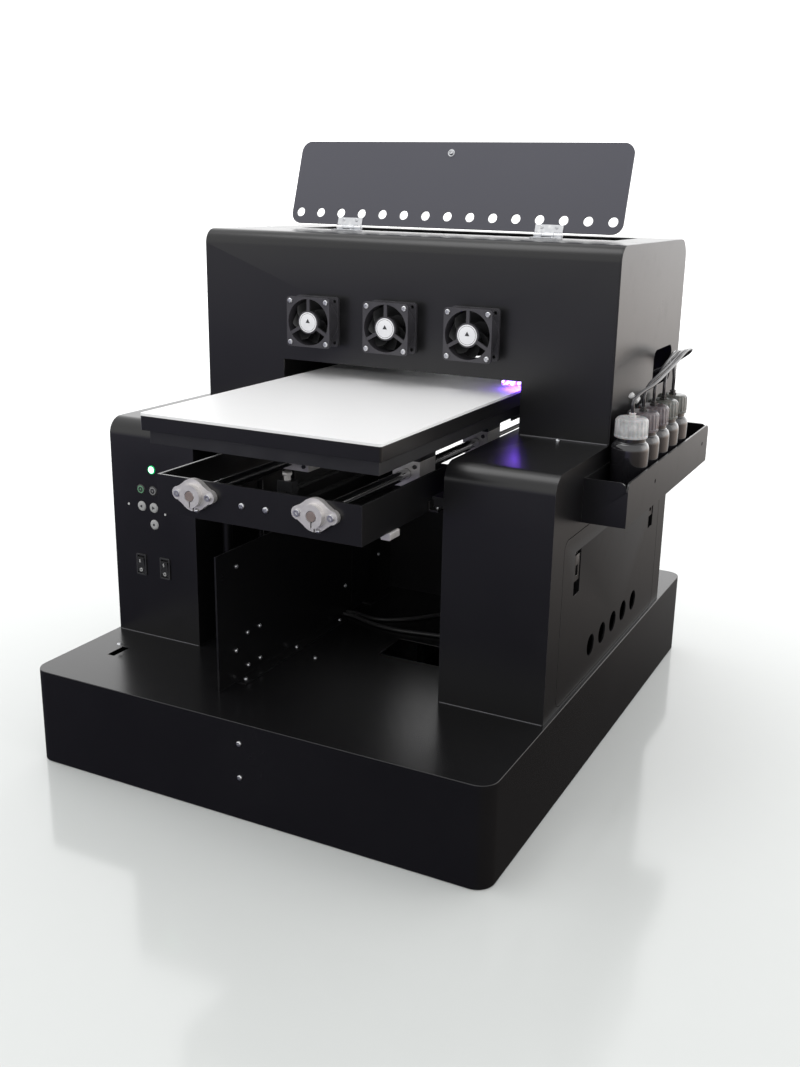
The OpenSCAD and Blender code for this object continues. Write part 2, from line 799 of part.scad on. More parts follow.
// A diamond flange that clamps a rod, its outline about the origin
module flange_outline() {
    circle(17);
    polygon([[-19, -7], [-7, -15.5], [7, -15.5], [19, -7], [19, 7], [7, 15.5], [-7, 15.5], [-19, 7]]);
    for (x = [-19, 19]) translate([x, 0]) circle(7);
}

module shaft_supports() {
    color([0.82, 0.82, 0.84]) placed() for (x = rod_x_at, y = [0, base_d - bed_y]) difference() {
        union() {
            along_y(y > 0 ? y : y + bed_y - 6, 6) translate([x, rod_z]) flange_outline();
            rod_y(x, y, rod_z, 12, bed_y);
        }
        rod_y(x, y - 1, rod_z, rod_d / 2, bed_y + 2);
        for (dx = [-19, 19]) rod_y(x + dx, y - 1, rod_z, 2.6, bed_y + 2);
        block(x - 0.8, x + 0.8, y - 1, y + bed_y + 1, rod_z - 20, rod_z);
    }
}

module y_motor() {
    color(dark) placed() translate([bed_cx + 14, y_belt_y1, y_belt_z]) rotate([0, -90, 0]) stepper();
}

module y_belt() {
    color(dark) placed() along_x(bed_cx - belt_w / 2, belt_w)
        translate([y_belt_y0, y_belt_z]) belt_outline(y_belt_y1 - y_belt_y0, belt_r, 1.5);
}

module y_pulley() {
    color(steel) placed() {
        rod_x(bed_cx - 5, y_belt_y1, y_belt_z, belt_r - 0.3, 10);
        rod_x(bed_cx + 4, y_belt_y1, y_belt_z, screw_d / 2, 20);
    }
}

// ---------- bed ----------

module bed_top() {
    color([0.93, 0.93, 0.95]) placed() translate([bed_x0, bed_y, bed_z - bed_t])
        linear_extrude(bed_t) round_rect(bed_w, bed_l, 3);
}

module bed_skirt() {
    color(black) placed() difference() {
        translate([bed_x0, bed_y, skirt_z]) linear_extrude(skirt_h) round_rect(bed_w, bed_l, 3);
        block(bed_x0 + sheet, bed_x0 + bed_w - sheet, bed_y + sheet, bed_y + bed_l - sheet,
              skirt_z - 1, bed_z - bed_t - sheet);
    }
}

module bed_carrier() {
    x0 = bed_x0 + carrier_in;
    x1 = bed_x0 + bed_w - carrier_in;
    y0 = bed_y + carrier_in + 2;
    y1 = bed_y + bed_l - carrier_in;
    z1 = bed_z - bed_t - sheet;
    color(dark) placed() {
        difference() {
            block(x0, x1, y0, y1, carrier_z, z1);
            block(x0 + 3, x1 - 3, y0 + 3, y1 - 3, carrier_z + 3, z1 + 1);
        }
        for (y = [front_block_y, rear_block_y])
            block(rod_x_at[0] - block_w / 2, rod_x_at[1] + block_w / 2, y, y + block_l,
                  block_z + block_h, carrier_z);
        block(bed_cx - belt_w / 2, bed_cx + belt_w / 2, front_block_y + 10, front_block_y + 30,
              y_belt_z + belt_r + 2, block_z + block_h);
    }
}

module bearing_blocks() {
    color(steel) placed() for (x = rod_x_at, y = [front_block_y, rear_block_y]) difference() {
        block(x - block_w / 2, x + block_w / 2, y, y + block_l, block_z, block_z + block_h);
        rod_y(x, y - 1, rod_z, rod_d / 2 + run, block_l + 2);
    }
}

// ---------- print carriage ----------

module x_rail() {
    x0 = house_x0 + sheet;
    x1 = house_x1 - sheet;
    color(steel) placed() {
        block(x0 + 4, x1 - 4, rail_y + rail_t, rail_y + rail_t + 30, rail_z - 9, rail_z + rail_h + 9);
        block(x0 + 8, x1 - 8, rail_y, rail_y + rail_t, rail_z, rail_z + rail_h);
        for (x = [x0, x1 - 4]) block(x, x + 4, rail_y - 6, rail_y + 60, rail_z - 30, rail_z + 40);
    }
}

module x_carriage() {
    y1 = rail_y - 10;
    z1 = head_z + 90;
    color(dark) placed() {
        difference() {
            block(carr_x, carr_x + carr_w, carr_y, y1, head_z + 6, z1);
            block(carr_x + 3, carr_x + carr_w - 3, carr_y + 3, y1 - 3, head_z + 5, z1 - 3);
        }
        difference() {
            block(carr_x + 5, carr_x + carr_w - 5, y1, rail_y + rail_t - 0.6, rail_z - 8,
                  rail_z + rail_h + 8);
            block(carr_x - 5, carr_x + carr_w + 5, rail_y - 0.1, rail_y + 20, rail_z - 0.1,
                  rail_z + rail_h + 0.1);
        }
        block(carr_x + 40, carr_x + 60, y1, x_belt_y + belt_w, rail_z + rail_h + 8,
              x_belt_z - belt_r - 2);
    }
}

module print_head() {
    color([0.3, 0.3, 0.32]) placed() {
        block(carr_x + 46, carr_x + 90, carr_y + 10, carr_y + 62, head_z + 5, head_z + 50);
        block(carr_x + 50, carr_x + 86, carr_y + 18, carr_y + 54, head_z, head_z + 5);
    }
}

module uv_lamp() {
    color([0.5, 0.2, 1]) placed() {
        block(carr_x + 4, carr_x + 38, carr_y + 8, carr_y + 62, head_z + 4, head_z + 45);
        block(carr_x + 7, carr_x + 35, carr_y + 11, carr_y + 59, head_z, head_z + 4);
    }
}

module x_belt() {
    color(dark) placed() along_y(x_belt_y, belt_w)
        translate([x_belt_x0, x_belt_z]) belt_outline(x_belt_x1 - x_belt_x0, belt_r, 1.5);
}

module x_pulley() {
    color(steel) placed() {
        rod_y(x_belt_x0, x_belt_y - 2, x_belt_z, belt_r - 0.3, 9.4);
        rod_y(x_belt_x0, x_belt_y + 7, x_belt_z, screw_d / 2, 12);
    }
}

module capping_station() {
    x0 = gap_x1 + 12;
    color(dark) placed() {
        block(x0, x0 + 80, carr_y, carr_y + 72, tower_top, head_z - 20);
        for (dx = [6, 42]) difference() {
            block(x0 + dx, x0 + dx + 32, carr_y + 12, carr_y + 60, head_z - 20, head_z - 2);
            block(x0 + dx + 3, x0 + dx + 29, carr_y + 15, carr_y + 57, head_z - 8, head_z);
        }
    }
}

// ---------- electronics ----------

module mainboard() {
    x = side_x1 - 35;
    color([0.05, 0.3, 0.15]) placed() {
        block(x, x + 1.6, tower_y + 232, tower_y + 412, base_h + 36, base_h + 186);
        block(x + 1.6, x + 10, tower_y + 250, tower_y + 290, base_h + 60, base_h + 100);
        for (i = [0 : 4])
            block(x + 1.6, x + 14, tower_y + 310 + 18 * i, tower_y + 322 + 18 * i, base_h + 150,
                  base_h + 180);
        for (i = [0 : 2])
            block(x + 1.6, x + 8, tower_y + 310 + 30 * i, tower_y + 330 + 30 * i, base_h + 70,
                  base_h + 90);
    }
}

module power_supply() {
    color(steel) placed() difference() {
        block(60, 275, base_d - 275, base_d - 160, sheet, sheet + 50);
        for (i = [0 : 11]) block(80 + 15 * i, 88 + 15 * i, base_d - 270, base_d - 165,
                                 sheet + 48, sheet + 60);
    }
}

module rear_sockets() {
    color(dark) placed() {
        difference() {
            union() {
                block(gap_x1 + 36, gap_x1 + 66, house_y1 - 20, house_y1, base_h + 36, base_h + 58);
                block(gap_x1 + 31, gap_x1 + 71, house_y1, house_y1 + 2, base_h + 33, base_h + 61);
            }
            block(gap_x1 + 39, gap_x1 + 63, house_y1 - 16, house_y1 + 3, base_h + 39, base_h + 55);
        }
        difference() {
            block(gap_x1 + 44, gap_x1 + 58, house_y1 - 14, house_y1 + 1, base_h + 84, base_h + 96);
            block(gap_x1 + 46, gap_x1 + 56, house_y1 - 10, house_y1 + 2, base_h + 86, base_h + 94);
        }
    }
}

// ---------- side door ----------

module side_door() {
    color(black) placed() {
        difference() {
            along_x(side_x1 - sheet, sheet) difference() {
                translate([door_y0, door_z0])
                    round_rect(door_y1 - door_y0, door_z1 - door_z0, 12);
                for (y = vent_ys) translate([y, vent_z]) circle(vent_r);
                for (y = latch_ys) translate([y - latch_w / 2, latch_z - latch_h / 2])
                    square([latch_w, latch_h]);
            }
        }
        for (y = latch_ys) difference() {
            block(side_x1 - latch_d, side_x1 - sheet, y - latch_w / 2 - 2, y + latch_w / 2 + 2,
                  latch_z - latch_h / 2 - 2, latch_z + latch_h / 2 + 2);
            block(side_x1 - latch_d + 2, side_x1, y - latch_w / 2, y + latch_w / 2,
                  latch_z - latch_h / 2, latch_z + latch_h / 2);
            rod_y(side_x1 - 5, y - latch_w, latch_z + latch_h / 2 - 5, 1.5 + run, 2 * latch_w);
        }
    }
}

module latch(y) {
    z1 = latch_z + latch_h / 2 - 5;
    color(steel) placed() {
        difference() {
            block(side_x1 - 3, side_x1 - 1, y - latch_w / 2 + 1, y + latch_w / 2 - 1, z1 - 30, z1);
            block(side_x1 - 9, side_x1 + 5, y - 4, y + 4, z1 - 24, z1 - 12);
        }
        block(side_x1 - 6, side_x1 - 3, y - latch_w / 2 + 1, y + latch_w / 2 - 1, z1 - 3, z1);
        rod_y(side_x1 - 5, y - latch_w / 2 - 1.5, z1, 1.5, latch_w + 3);
    }
}

module latch_front() { latch(latch_ys[0]); }
module latch_rear() { latch(latch_ys[1]); }

// ---------- screws ----------

module chassis_screws() {
    color(steel) placed() {
        // base front, at the middle
        for (z = [base_h - 24, base_h - 64])
            translate([base_w / 2, 0, z]) rotate([90, 0, 0]) screw_head();
        // fan corners
        for (x = fan_x, dx = [-25, 25], dz = [-25, 25])
            translate([x + dx, fan_y, fan_z + dz]) rotate([90, 0, 0]) screw_head(3.2, 2);
        // the lift screen's side
        for (p = [[85, 38], [89, 137], [108, 52], [132, 52], [108, 12], [132, 12], [330, 40],
                  [346 + 75, 58]])
            translate([guard_x + sheet, p[0], base_h + p[1]]) rotate([0, 90, 0]) screw_head(2.6);
        // feet of the screens, and the floor
        for (p = [[guard_x + 9, 92], [guard_x + 9, 200], [guard_x + 9, 304]])
            translate([p[0], p[1], base_h + sheet]) screw_head(2.6);
        translate([guard_x + 44, 186, base_h]) screw_head(2.6);
        // tower tops in front of the housing
        for (x = [house_x1 - 59, house_x0 + 59]) translate([x, house_y0 - 6, tower_top]) screw_head();
        // housing sides and tower sides
        for (y = [house_y0 + 25, house_y1 - 30], z = [tower_top + 25, house_top - 40])
            translate([house_x0, y, z]) rotate([0, -90, 0]) screw_head();
        for (z = [tower_top + 25, house_top - 40])
            for (x = [house_x0 + 30, house_x1 - 30])
                translate([x, house_y1, z]) rotate([-90, 0, 0]) screw_head();
    }
}

base_cover();
base_plate();
left_cover();
right_cover();
inner_panels();
rear_panel();
housing_cover();
housing_sides();
top_panel();
lid_hinge_bases();
fan_frames();
panel_leds();
rocker_bezels();
bottle_tray();
ink_bottles();
bottle_caps();
ink_tubes();
lift_rods();
lift_mounts();
stepper_motors();
x_rail();
x_belt();
capping_station();
mainboard();
power_supply();
rear_sockets();
chassis_screws();
floor_cables();
lid();
lid_hinge_leaves();
fan_rotor_left();
fan_rotor_middle();
fan_rotor_right();
button_up();
button_down();
button_back();
button_forward();
button_home();
rocker_left();
rocker_right();
side_door();
latch_front();
latch_rear();
y_frame();
shaft_supports();
y_rods();
lift_arms();
y_motor();
y_belt();
y_pulley();
lift_screw_left();
lift_screw_right();
bed_top();
bed_skirt();
bed_carrier();
bearing_blocks();
x_carriage();
print_head();
uv_lamp();
x_pulley();
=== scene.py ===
"""Flatbed UV printer: finished pieces, materials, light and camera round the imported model."""

import json
import math

import bmesh
import bpy
from bpy.props import FloatProperty, FloatVectorProperty, IntProperty, PointerProperty
from mathutils import Matrix, Vector


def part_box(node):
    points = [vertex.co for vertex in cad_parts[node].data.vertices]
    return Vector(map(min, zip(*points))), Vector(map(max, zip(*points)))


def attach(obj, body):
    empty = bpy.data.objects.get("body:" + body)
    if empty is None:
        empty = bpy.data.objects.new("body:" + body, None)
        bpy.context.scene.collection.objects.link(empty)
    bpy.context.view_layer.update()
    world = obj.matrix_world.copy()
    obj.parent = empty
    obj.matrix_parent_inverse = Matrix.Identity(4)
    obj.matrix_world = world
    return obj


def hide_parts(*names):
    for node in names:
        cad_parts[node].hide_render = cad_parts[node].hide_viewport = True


bl_info = {
    "name": "Flatbed UV Printer",
    "version": (1, 0, 0),
    "blender": (4, 5, 0),
    "location": "3D View > Sidebar > Printer",
    "description": "Finishes a flatbed UV printer round its packed frame",
    "category": "Object",
}

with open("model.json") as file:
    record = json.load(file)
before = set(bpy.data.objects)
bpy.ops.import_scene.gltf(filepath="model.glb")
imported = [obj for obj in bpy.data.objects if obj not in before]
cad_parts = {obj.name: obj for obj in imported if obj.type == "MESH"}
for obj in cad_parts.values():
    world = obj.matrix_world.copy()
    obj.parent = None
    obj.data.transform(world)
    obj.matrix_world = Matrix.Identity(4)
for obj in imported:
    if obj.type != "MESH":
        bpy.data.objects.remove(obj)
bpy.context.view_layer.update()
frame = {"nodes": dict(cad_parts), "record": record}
RECORD = frame["record"]
BODY_OF = {n: body for body, ns in RECORD["behaviour"]["bodies"].items() for n in ns}
SLOT_OF = {part["node"]: part["material_slot"] for part in RECORD["subparts"]}
MM = 0.001
WELD = 0.01 * MM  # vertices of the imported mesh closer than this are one
SHARP = 32  # degrees: edges that turn by more than this are drawn and rounded as edges
X, Y, Z = Vector((1, 0, 0)), Vector((0, 1, 0)), Vector((0, 0, 1))


def sizes():
    return bpy.context.scene.printer_sizes


def finishes():
    return bpy.context.scene.printer_finish


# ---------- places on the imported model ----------


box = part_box


def under(low, high):
    """The middle of a box's underside."""
    return Vector(((low.x + high.x) / 2, (low.y + high.y) / 2, low.z))


def ahead(low, high):
    """The middle of a box's front face."""
    return Vector(((low.x + high.x) / 2, low.y, (low.z + high.z) / 2))


def from_corner(x, y, z):
    """A point given from the base's front left corner, in metres."""
    low = box("base_cover")[0]
    return Vector((low.x + x, low.y + y, z))


def islands(node):
    """(lowest, highest) corners of each separate solid of a node, from left to right."""
    mesh = bmesh.new()
    mesh.from_mesh(frame["nodes"][node].data)
    bmesh.ops.remove_doubles(mesh, verts=mesh.verts, dist=WELD)
    left, found = set(mesh.verts), []
    while left:
        group, edge = set(), [left.pop()]
        while edge:
            vert = edge.pop()
            group.add(vert)
            for link in vert.link_edges:
                other = link.other_vert(vert)
                if other in left:
                    left.remove(other)
                    edge.append(other)
        points = [v.co for v in group]
        found.append(
            tuple(Vector([pick(p[i] for p in points) for i in range(3)]) for pick in (min, max))
        )
    mesh.free()
    return sorted(found, key=lambda b: tuple(round((b[0] + b[1])[i], 4) for i in range(3)))


# ---------- materials ----------


class Value:
    """A socket of a material's tree. Arithmetic on it adds Math nodes."""

    def __init__(self, look, socket):
        self.look, self.socket = look, socket

    def _math(self, operation, *operands, clamp=False):
        settings = {"operation": operation, "use_clamp": clamp}
        return self.look.node("ShaderNodeMath", settings, dict(enumerate(operands)))

    def __add__(self, other):
        return self._math("ADD", self, other)

    __radd__ = __add__

    def __mul__(self, other):
        return self._math("MULTIPLY", self, other)

    __rmul__ = __mul__

    def __sub__(self, other):
        return self._math("SUBTRACT", self, other)

    def __rsub__(self, other):
        return self._math("SUBTRACT", other, self)

    def sine(self):
        return self._math("SINE", self)

    def above(self, limit, width):
        """0 below the limit, 1 past limit + width."""
        return self._math("MULTIPLY", self - limit, 1 / width, clamp=True)


class Look:
    """A material under construction, on one Principled shader."""

    def __init__(self, name, **fixed):
        self.material = bpy.data.materials.new(name)
        self.material.use_nodes = True
        self.tree = self.material.node_tree
        self.shader = self.tree.nodes["Principled BSDF"]
        for socket, value in fixed.items():
            self.put(self.shader.inputs[socket.replace("_", " ")], value)

    def put(self, socket, value):
        if isinstance(value, Value):
            self.tree.links.new(value.socket, socket)
        elif socket.type == "RGBA" and len(value) == 3:
            socket.default_value = (*value, 1)
        else:
            socket.default_value = value

    def node(self, kind, settings=None, sockets=None, out=0):
        """Adds a node: its type, its settings, then the values or links of its sockets."""
        made = self.tree.nodes.new(kind)
        for key, value in (settings or {}).items():
            if key == "stops":
                self._set_stops(made.color_ramp, value)
            else:
                setattr(made, key, value)
        for key, value in (sockets or {}).items():
            self.put(made.inputs[key], value)
        return Value(self, made.outputs[out])

    @staticmethod
    def _set_stops(ramp, stops):
        while len(ramp.elements) < len(stops):
            ramp.elements.new(1)
        for element, (position, shade) in zip(ramp.elements, stops):
            element.position, element.color = position, (shade, shade, shade, 1)

    def place(self):
        return self.node("ShaderNodeTexCoord", out="Object")

    def axis(self, name):
        return self.node("ShaderNodeSeparateXYZ", None, {0: self.place()}, out=name)

    def stretched(self, x, y, z):
        """The place with each axis scaled, so that a pattern on it draws out."""
        sockets = {"Vector": self.place(), "Scale": (x, y, z)}
        return self.node("ShaderNodeMapping", None, sockets)

    def noise(self, per_metre, detail=3, roughness=0.5, place=None):
        sockets = {
            "Vector": place or self.place(),
            "Scale": per_metre,
            "Detail": detail,
            "Roughness": roughness,
        }
        return self.node("ShaderNodeTexNoise", None, sockets, out="Fac")

    def cells(self, per_metre, place=None):
        sockets = {"Vector": place or self.place(), "Scale": per_metre}
        return self.node("ShaderNodeTexVoronoi", None, sockets, out="Distance")

    def mix(self, share, first, second):
        """One colour over another."""
        settings = {"data_type": "RGBA"}
        return self.node("ShaderNodeMix", settings, {0: share, 6: first, 7: second}, out=2)

    def ramp(self, value, stops):
        """A grey picked from (position, brightness) stops."""
        return self.node("ShaderNodeValToRGB", {"stops": stops}, {0: value}, out="Color")

    def edges(self, radius):
        """1 along the piece's sharp edges, fading over the radius."""
        rounded = self.node("ShaderNodeBevel", {"samples": 3}, {"Radius": radius})
        true = self.node("ShaderNodeNewGeometry", out="Normal")
        settings = {"operation": "DOT_PRODUCT"}
        same = self.node("ShaderNodeVectorMath", settings, {0: rounded, 1: true}, out="Value")
        return (1 - same).above(0.02, 0.2)

    def feed(self, **varying):
        for socket, value in varying.items():
            self.put(self.shader.inputs[socket.replace("_", " ")], value)

    def relief(self, height, depth):
        """Raises the surface by a height map, to that depth in metres."""
        sockets = {"Height": height, "Distance": depth, "Strength": 1.0}
        self.feed(Normal=self.node("ShaderNodeBump", None, sockets))


class Sky(Look):
    """The world's background, built in the same way."""

    def __init__(self, world):
        self.tree = world.node_tree
        self.shader = self.tree.nodes["Background"]

    def place(self):
        return self.node("ShaderNodeTexCoord", out="Generated")


def tint(colour, share):
    """A colour moved towards white by that share."""
    return tuple(c + (1 - c) * share for c in colour)


def powder_coat(name, colour, roughness, wear_and_highlight=0.10, coat=0.0):
    """Baked powder paint: fine orange peel, faint mottling, and edges made lighter: partly wear,
    partly a painted highlight.
    """
    look = Look(name, Specular_IOR_Level=0.5, Coat_Weight=coat, Coat_Roughness=0.25)
    peel = look.noise(1100, detail=2)
    cloud = look.noise(9, detail=4, roughness=0.6)
    smudge = look.noise(26, detail=5, roughness=0.7).above(0.55, 0.25)
    # edges tinted towards white: partly wear, partly a painted highlight along the edges
    rubbed = look.edges(0.5 * MM) * look.noise(160, detail=3).above(0.38, 0.3)
    base = look.mix(cloud, colour, tint(colour, 0.003))
    look.feed(
        Base_Color=look.mix(rubbed * 0.8, base, tint(colour, wear_and_highlight)),
        Roughness=roughness + cloud * 0.05 + smudge * 0.04 + rubbed * -0.06,
    )
    look.relief(peel + cloud * 0.2, 0.02 * MM)
    return look.material


def black_sheet(finish):
    return powder_coat("satin_black_coat", finish.coat, 0.26)


def floor_sheet(finish):
    return powder_coat("base_top_coat", finish.coat, 0.22)


def lid_sheet(finish):
    return powder_coat("charcoal_lid_coat", finish.lid, 0.3, wear_and_highlight=0.25, coat=0.12)


def bed_white(finish):
    look = Look("white_bed_coat", Specular_IOR_Level=0.5)
    cloud = look.noise(14, detail=4)
    fleck = look.cells(2600)
    marks = look.noise(60, detail=6, roughness=0.75, place=look.stretched(0.25, 1, 1))
    soiled = cloud * 0.5 + marks.above(0.62, 0.2) * 0.5
    look.feed(
        Base_Color=look.mix(soiled, finish.bed, (0.76, 0.76, 0.77)),
        Roughness=0.34 + cloud * 0.08 + marks * 0.05,
    )
    look.relief(fleck, 0.012 * MM)
    return look.material


def anodised(name, colour, roughness=0.38):
    look = Look(name, Metallic=0.75)
    grain = look.noise(700, detail=3, place=look.stretched(1, 0.05, 1))
    cloud = look.noise(20, detail=3)
    rubbed = look.edges(0.4 * MM)
    base = look.mix(cloud, colour, tint(colour, 0.04))
    look.feed(
        Base_Color=look.mix(rubbed * 0.55, base, tint(colour, 0.3)),
        Roughness=roughness + grain * 0.12,
    )
    look.relief(grain, 0.008 * MM)
    return look.material


def black_aluminium(finish):
    return anodised("black_anodised", (0.025, 0.025, 0.028))


def motor_case(finish):
    look = Look("motor_lamination", Metallic=0.6)
    sheets = (look.axis("Z") * 9000).sine()
    cloud = look.noise(60, detail=3)
    look.feed(
        Base_Color=look.mix(cloud, (0.02, 0.02, 0.022), (0.05, 0.05, 0.055)),
        Roughness=0.42 + cloud * 0.15,
    )
    look.relief(sheets * 0.5 + cloud, 0.03 * MM)
    return look.material


def cast_aluminium(finish):
    """Bead-blasted casting."""
    look = Look("blasted_aluminium", Metallic=0.85)
    beads = look.cells(2400)
    cloud = look.noise(90, detail=5, roughness=0.65)
    rubbed = look.edges(0.6 * MM)
    base = look.mix(cloud, (0.66, 0.64, 0.63), (0.86, 0.84, 0.83))
    look.feed(
        Base_Color=look.mix(rubbed * 0.6, base, (0.95, 0.94, 0.93)),
        Roughness=0.46 + cloud * 0.14,
    )
    look.relief(beads + cloud * 0.6, 0.05 * MM)
    return look.material


def bright_steel(finish):
    """Ground and polished shaft: fine rings round its length."""
    look = Look("polished_shaft", Metallic=1.0)
    rings = look.noise(1, detail=4, place=look.stretched(30, 4200, 30))
    film = look.noise(30, detail=3)
    look.feed(
        Base_Color=look.mix(film, (0.78, 0.78, 0.79), (0.62, 0.62, 0.63)),
        Roughness=0.1 + film * 0.08 + rings * 0.05,
    )
    look.relief(rings, 0.002 * MM)
    return look.material


def zinc_steel(finish):
    """Zinc plate with a soft brushed grain."""
    look = Look("zinc_plate", Metallic=1.0)
    grain = look.noise(900, detail=3, place=look.stretched(1, 1, 0.08))
    bloom = look.cells(160)
    look.feed(
        Base_Color=look.mix(bloom * 2.0, (0.8, 0.8, 0.8), (0.6, 0.61, 0.63)),
        Roughness=0.26 + grain * 0.14,
    )
    look.relief(grain, 0.008 * MM)
    return look.material


def latch_metal(finish):
    look = Look("dark_plate", Metallic=0.9)
    grain = look.noise(1200, detail=3, place=look.stretched(1, 1, 0.06))
    rubbed = look.edges(0.4 * MM)
    look.feed(
        Base_Color=look.mix(rubbed * 0.8, (0.06, 0.058, 0.058), (0.4, 0.4, 0.4)),
        Roughness=0.3 + grain * 0.12,
    )
    look.relief(grain, 0.008 * MM)
    return look.material


def black_oxide(finish):
    """Oiled black finish of the lift's rods and threads."""
    look = Look("black_oxide", Metallic=0.8)
    oil = look.noise(55, detail=4)
    rings = look.noise(1, detail=3, place=look.stretched(40, 40, 3000))
    look.feed(
        Base_Color=look.mix(oil, (0.012, 0.012, 0.014), (0.03, 0.029, 0.032)),
        Roughness=0.3 + oil * 0.12,
    )
    look.relief(rings, 0.003 * MM)
    return look.material


def shaft_end(finish):
    """Sawn and faced end of a shaft, a little brown."""
    look = Look("faced_shaft_end", Metallic=0.4)
    film = look.noise(220, detail=4)
    grain = look.noise(1600, detail=2)
    look.feed(
        Base_Color=look.mix(film, (0.3, 0.24, 0.225), (0.2, 0.16, 0.15)),
        Roughness=0.45 + film * 0.15,
    )
    look.relief(grain, 0.02 * MM)
    return look.material


def belt_rubber(finish):
    look = Look("belt_rubber", Specular_IOR_Level=0.35)
    fabric = look.noise(2200, detail=2)
    dust = look.noise(120, detail=5, roughness=0.7)
    look.feed(
        Base_Color=look.mix(dust.above(0.5, 0.3), (0.018, 0.018, 0.018), (0.05, 0.048, 0.045)),
        Roughness=0.72 + fabric * 0.12,
    )
    look.relief(fabric, 0.04 * MM)
    return look.material


def moulded(name, colour, roughness, depth=0.02):
    """Moulded plastic: spark-eroded grain, flow marks and slightly worn corners."""
    look = Look(name)
    grain = look.noise(2600, detail=2)
    flow = look.noise(45, detail=4, roughness=0.6)
    rubbed = look.edges(0.35 * MM)
    base = look.mix(flow, colour, tint(colour, 0.03))
    look.feed(
        Base_Color=look.mix(rubbed * 0.5, base, tint(colour, 0.12)),
        Roughness=roughness + flow * 0.08,
    )
    look.relief(grain + flow * 0.3, depth * MM)
    return look.material


def button_plastic(finish):
    return moulded("key_plastic", finish.key, 0.38, depth=0.01)


def bottle_plastic(finish):
    """Blow-moulded gloss: slow ripples and a fine grain."""
    look = Look("gloss_black_bottle", Coat_Weight=0.9, Coat_Roughness=0.05)
    ripple = look.noise(38, detail=2)
    fine = look.noise(900, detail=2)
    look.feed(
        Base_Color=look.mix(ripple, (0.006, 0.006, 0.007), (0.016, 0.015, 0.018)),
        Roughness=0.14 + ripple * 0.1,
    )
    look.relief(ripple + fine * 0.03, 0.25 * MM)
    return look.material


def cap_plastic(name, colour, mottle):
    """Milky screw cap: mottled, softly lit through, with rubbed ribs."""
    look = Look(name, Subsurface_Weight=0.15, Subsurface_Scale=0.004, Coat_Weight=0.25)
    flow = look.noise(70, detail=4, roughness=0.6)
    grain = look.noise(1800, detail=2)
    rubbed = look.edges(0.4 * MM)
    base = look.mix(flow.above(0.35, 0.3), colour, tint(colour, mottle))
    look.feed(
        Base_Color=look.mix(rubbed * 0.5, base, tint(colour, 0.15 + mottle)),
        Roughness=0.26 + flow * 0.12,
    )
    look.relief(grain + flow, 0.03 * MM)
    return look.material


def tube_plastic(finish):
    look = Look("ink_tube", Coat_Weight=0.5, Coat_Roughness=0.08)
    ink = look.noise(50, detail=3)
    skin = look.noise(1500, detail=2)
    look.feed(
        Base_Color=look.mix(ink, (0.01, 0.01, 0.012), (0.045, 0.043, 0.05)),
        Roughness=0.16 + ink * 0.1,
    )
    look.relief(skin, 0.01 * MM)
    return look.material


def led_green(finish):
    """A lit lens: green mixed well towards white, mottled by a fine grain."""
    look = Look("lit_green_lens", Roughness=0.2, Emission_Strength=4.0)
    grain = look.noise(1200, detail=2)
    glow = look.mix(grain * 0.4 + 0.35, finish.led, (0.85, 1.0, 0.92))
    look.feed(Base_Color=glow, Emission_Color=glow)
    look.relief(grain, 0.01 * MM)
    return look.material


def led_rim(finish):
    """The clear ring round the lens, lit from inside in plain green."""
    look = Look("lit_green_rim", Roughness=0.3, Emission_Strength=0.5)
    grain = look.noise(1500, detail=2)
    glow = look.mix(grain * 0.5, (0.0, 0.5, 0.14), (0.0, 0.25, 0.07))
    look.feed(Base_Color=glow, Emission_Color=glow)
    look.relief(grain, 0.01 * MM)
    return look.material


def lamp_glass(finish):
    """The lamp's lit window, made up of rows of small diodes."""
    look = Look("lit_violet_window", Roughness=0.15, Emission_Strength=4.0)
    diodes = look.cells(260)
    glow = look.mix(diodes.above(0.3, 0.5), (0.62, 0.42, 1.0), finish.uv)
    look.feed(Base_Color=glow, Emission_Color=glow)
    look.relief(diodes, 0.1 * MM)
    return look.material


def board_green(finish):
    """Solder mask over copper tracks."""
    look = Look("circuit_board", Coat_Weight=0.4, Coat_Roughness=0.2)
    rows = (look.axis("Y") * 2400).sine().above(0.55, 0.2)
    gate = look.cells(90).above(0.35, 0.1)
    tracks = rows * gate
    pads = 1 - look.cells(420).above(0.12, 0.05)
    green = look.mix(tracks, (0.008, 0.07, 0.03), (0.02, 0.16, 0.07))
    look.feed(
        Base_Color=look.mix(pads * 0.8, green, (0.6, 0.55, 0.35)),
        Roughness=0.35 + pads * -0.1,
        Metallic=pads * 0.7,
    )
    look.relief(tracks + pads, 0.04 * MM)
    return look.material


def supply_case(finish):
    look = Look("galvanised_case", Metallic=0.95)
    spangle = look.cells(75)
    fine = look.noise(500, detail=3)
    look.feed(
        Base_Color=look.mix(spangle * 1.6, (0.72, 0.73, 0.75), (0.5, 0.52, 0.55)),
        Roughness=0.32 + spangle * 0.2 + fine * 0.06,
    )
    look.relief(fine, 0.01 * MM)
    return look.material


def hub_label(finish):
    """Printed foil disc: a pale face with a plain darker ring."""
    look = Look("hub_label", Coat_Weight=0.3)
    fibre = look.noise(900, detail=3)
    shade = look.noise(140, detail=4)
    look.feed(
        Base_Color=look.mix(shade * 0.35, (0.86, 0.86, 0.88), (0.55, 0.55, 0.58)),
        Roughness=0.4 + fibre * 0.1,
    )
    look.relief(fibre, 0.02 * MM)
    return look.material


def brass(finish):
    look = Look("brass_nut", Metallic=1.0)
    film = look.noise(120, detail=4)
    look.feed(
        Base_Color=look.mix(film, (0.72, 0.5, 0.22), (0.5, 0.34, 0.14)),
        Roughness=0.24 + film * 0.2,
    )
    look.relief(film, 0.01 * MM)
    return look.material
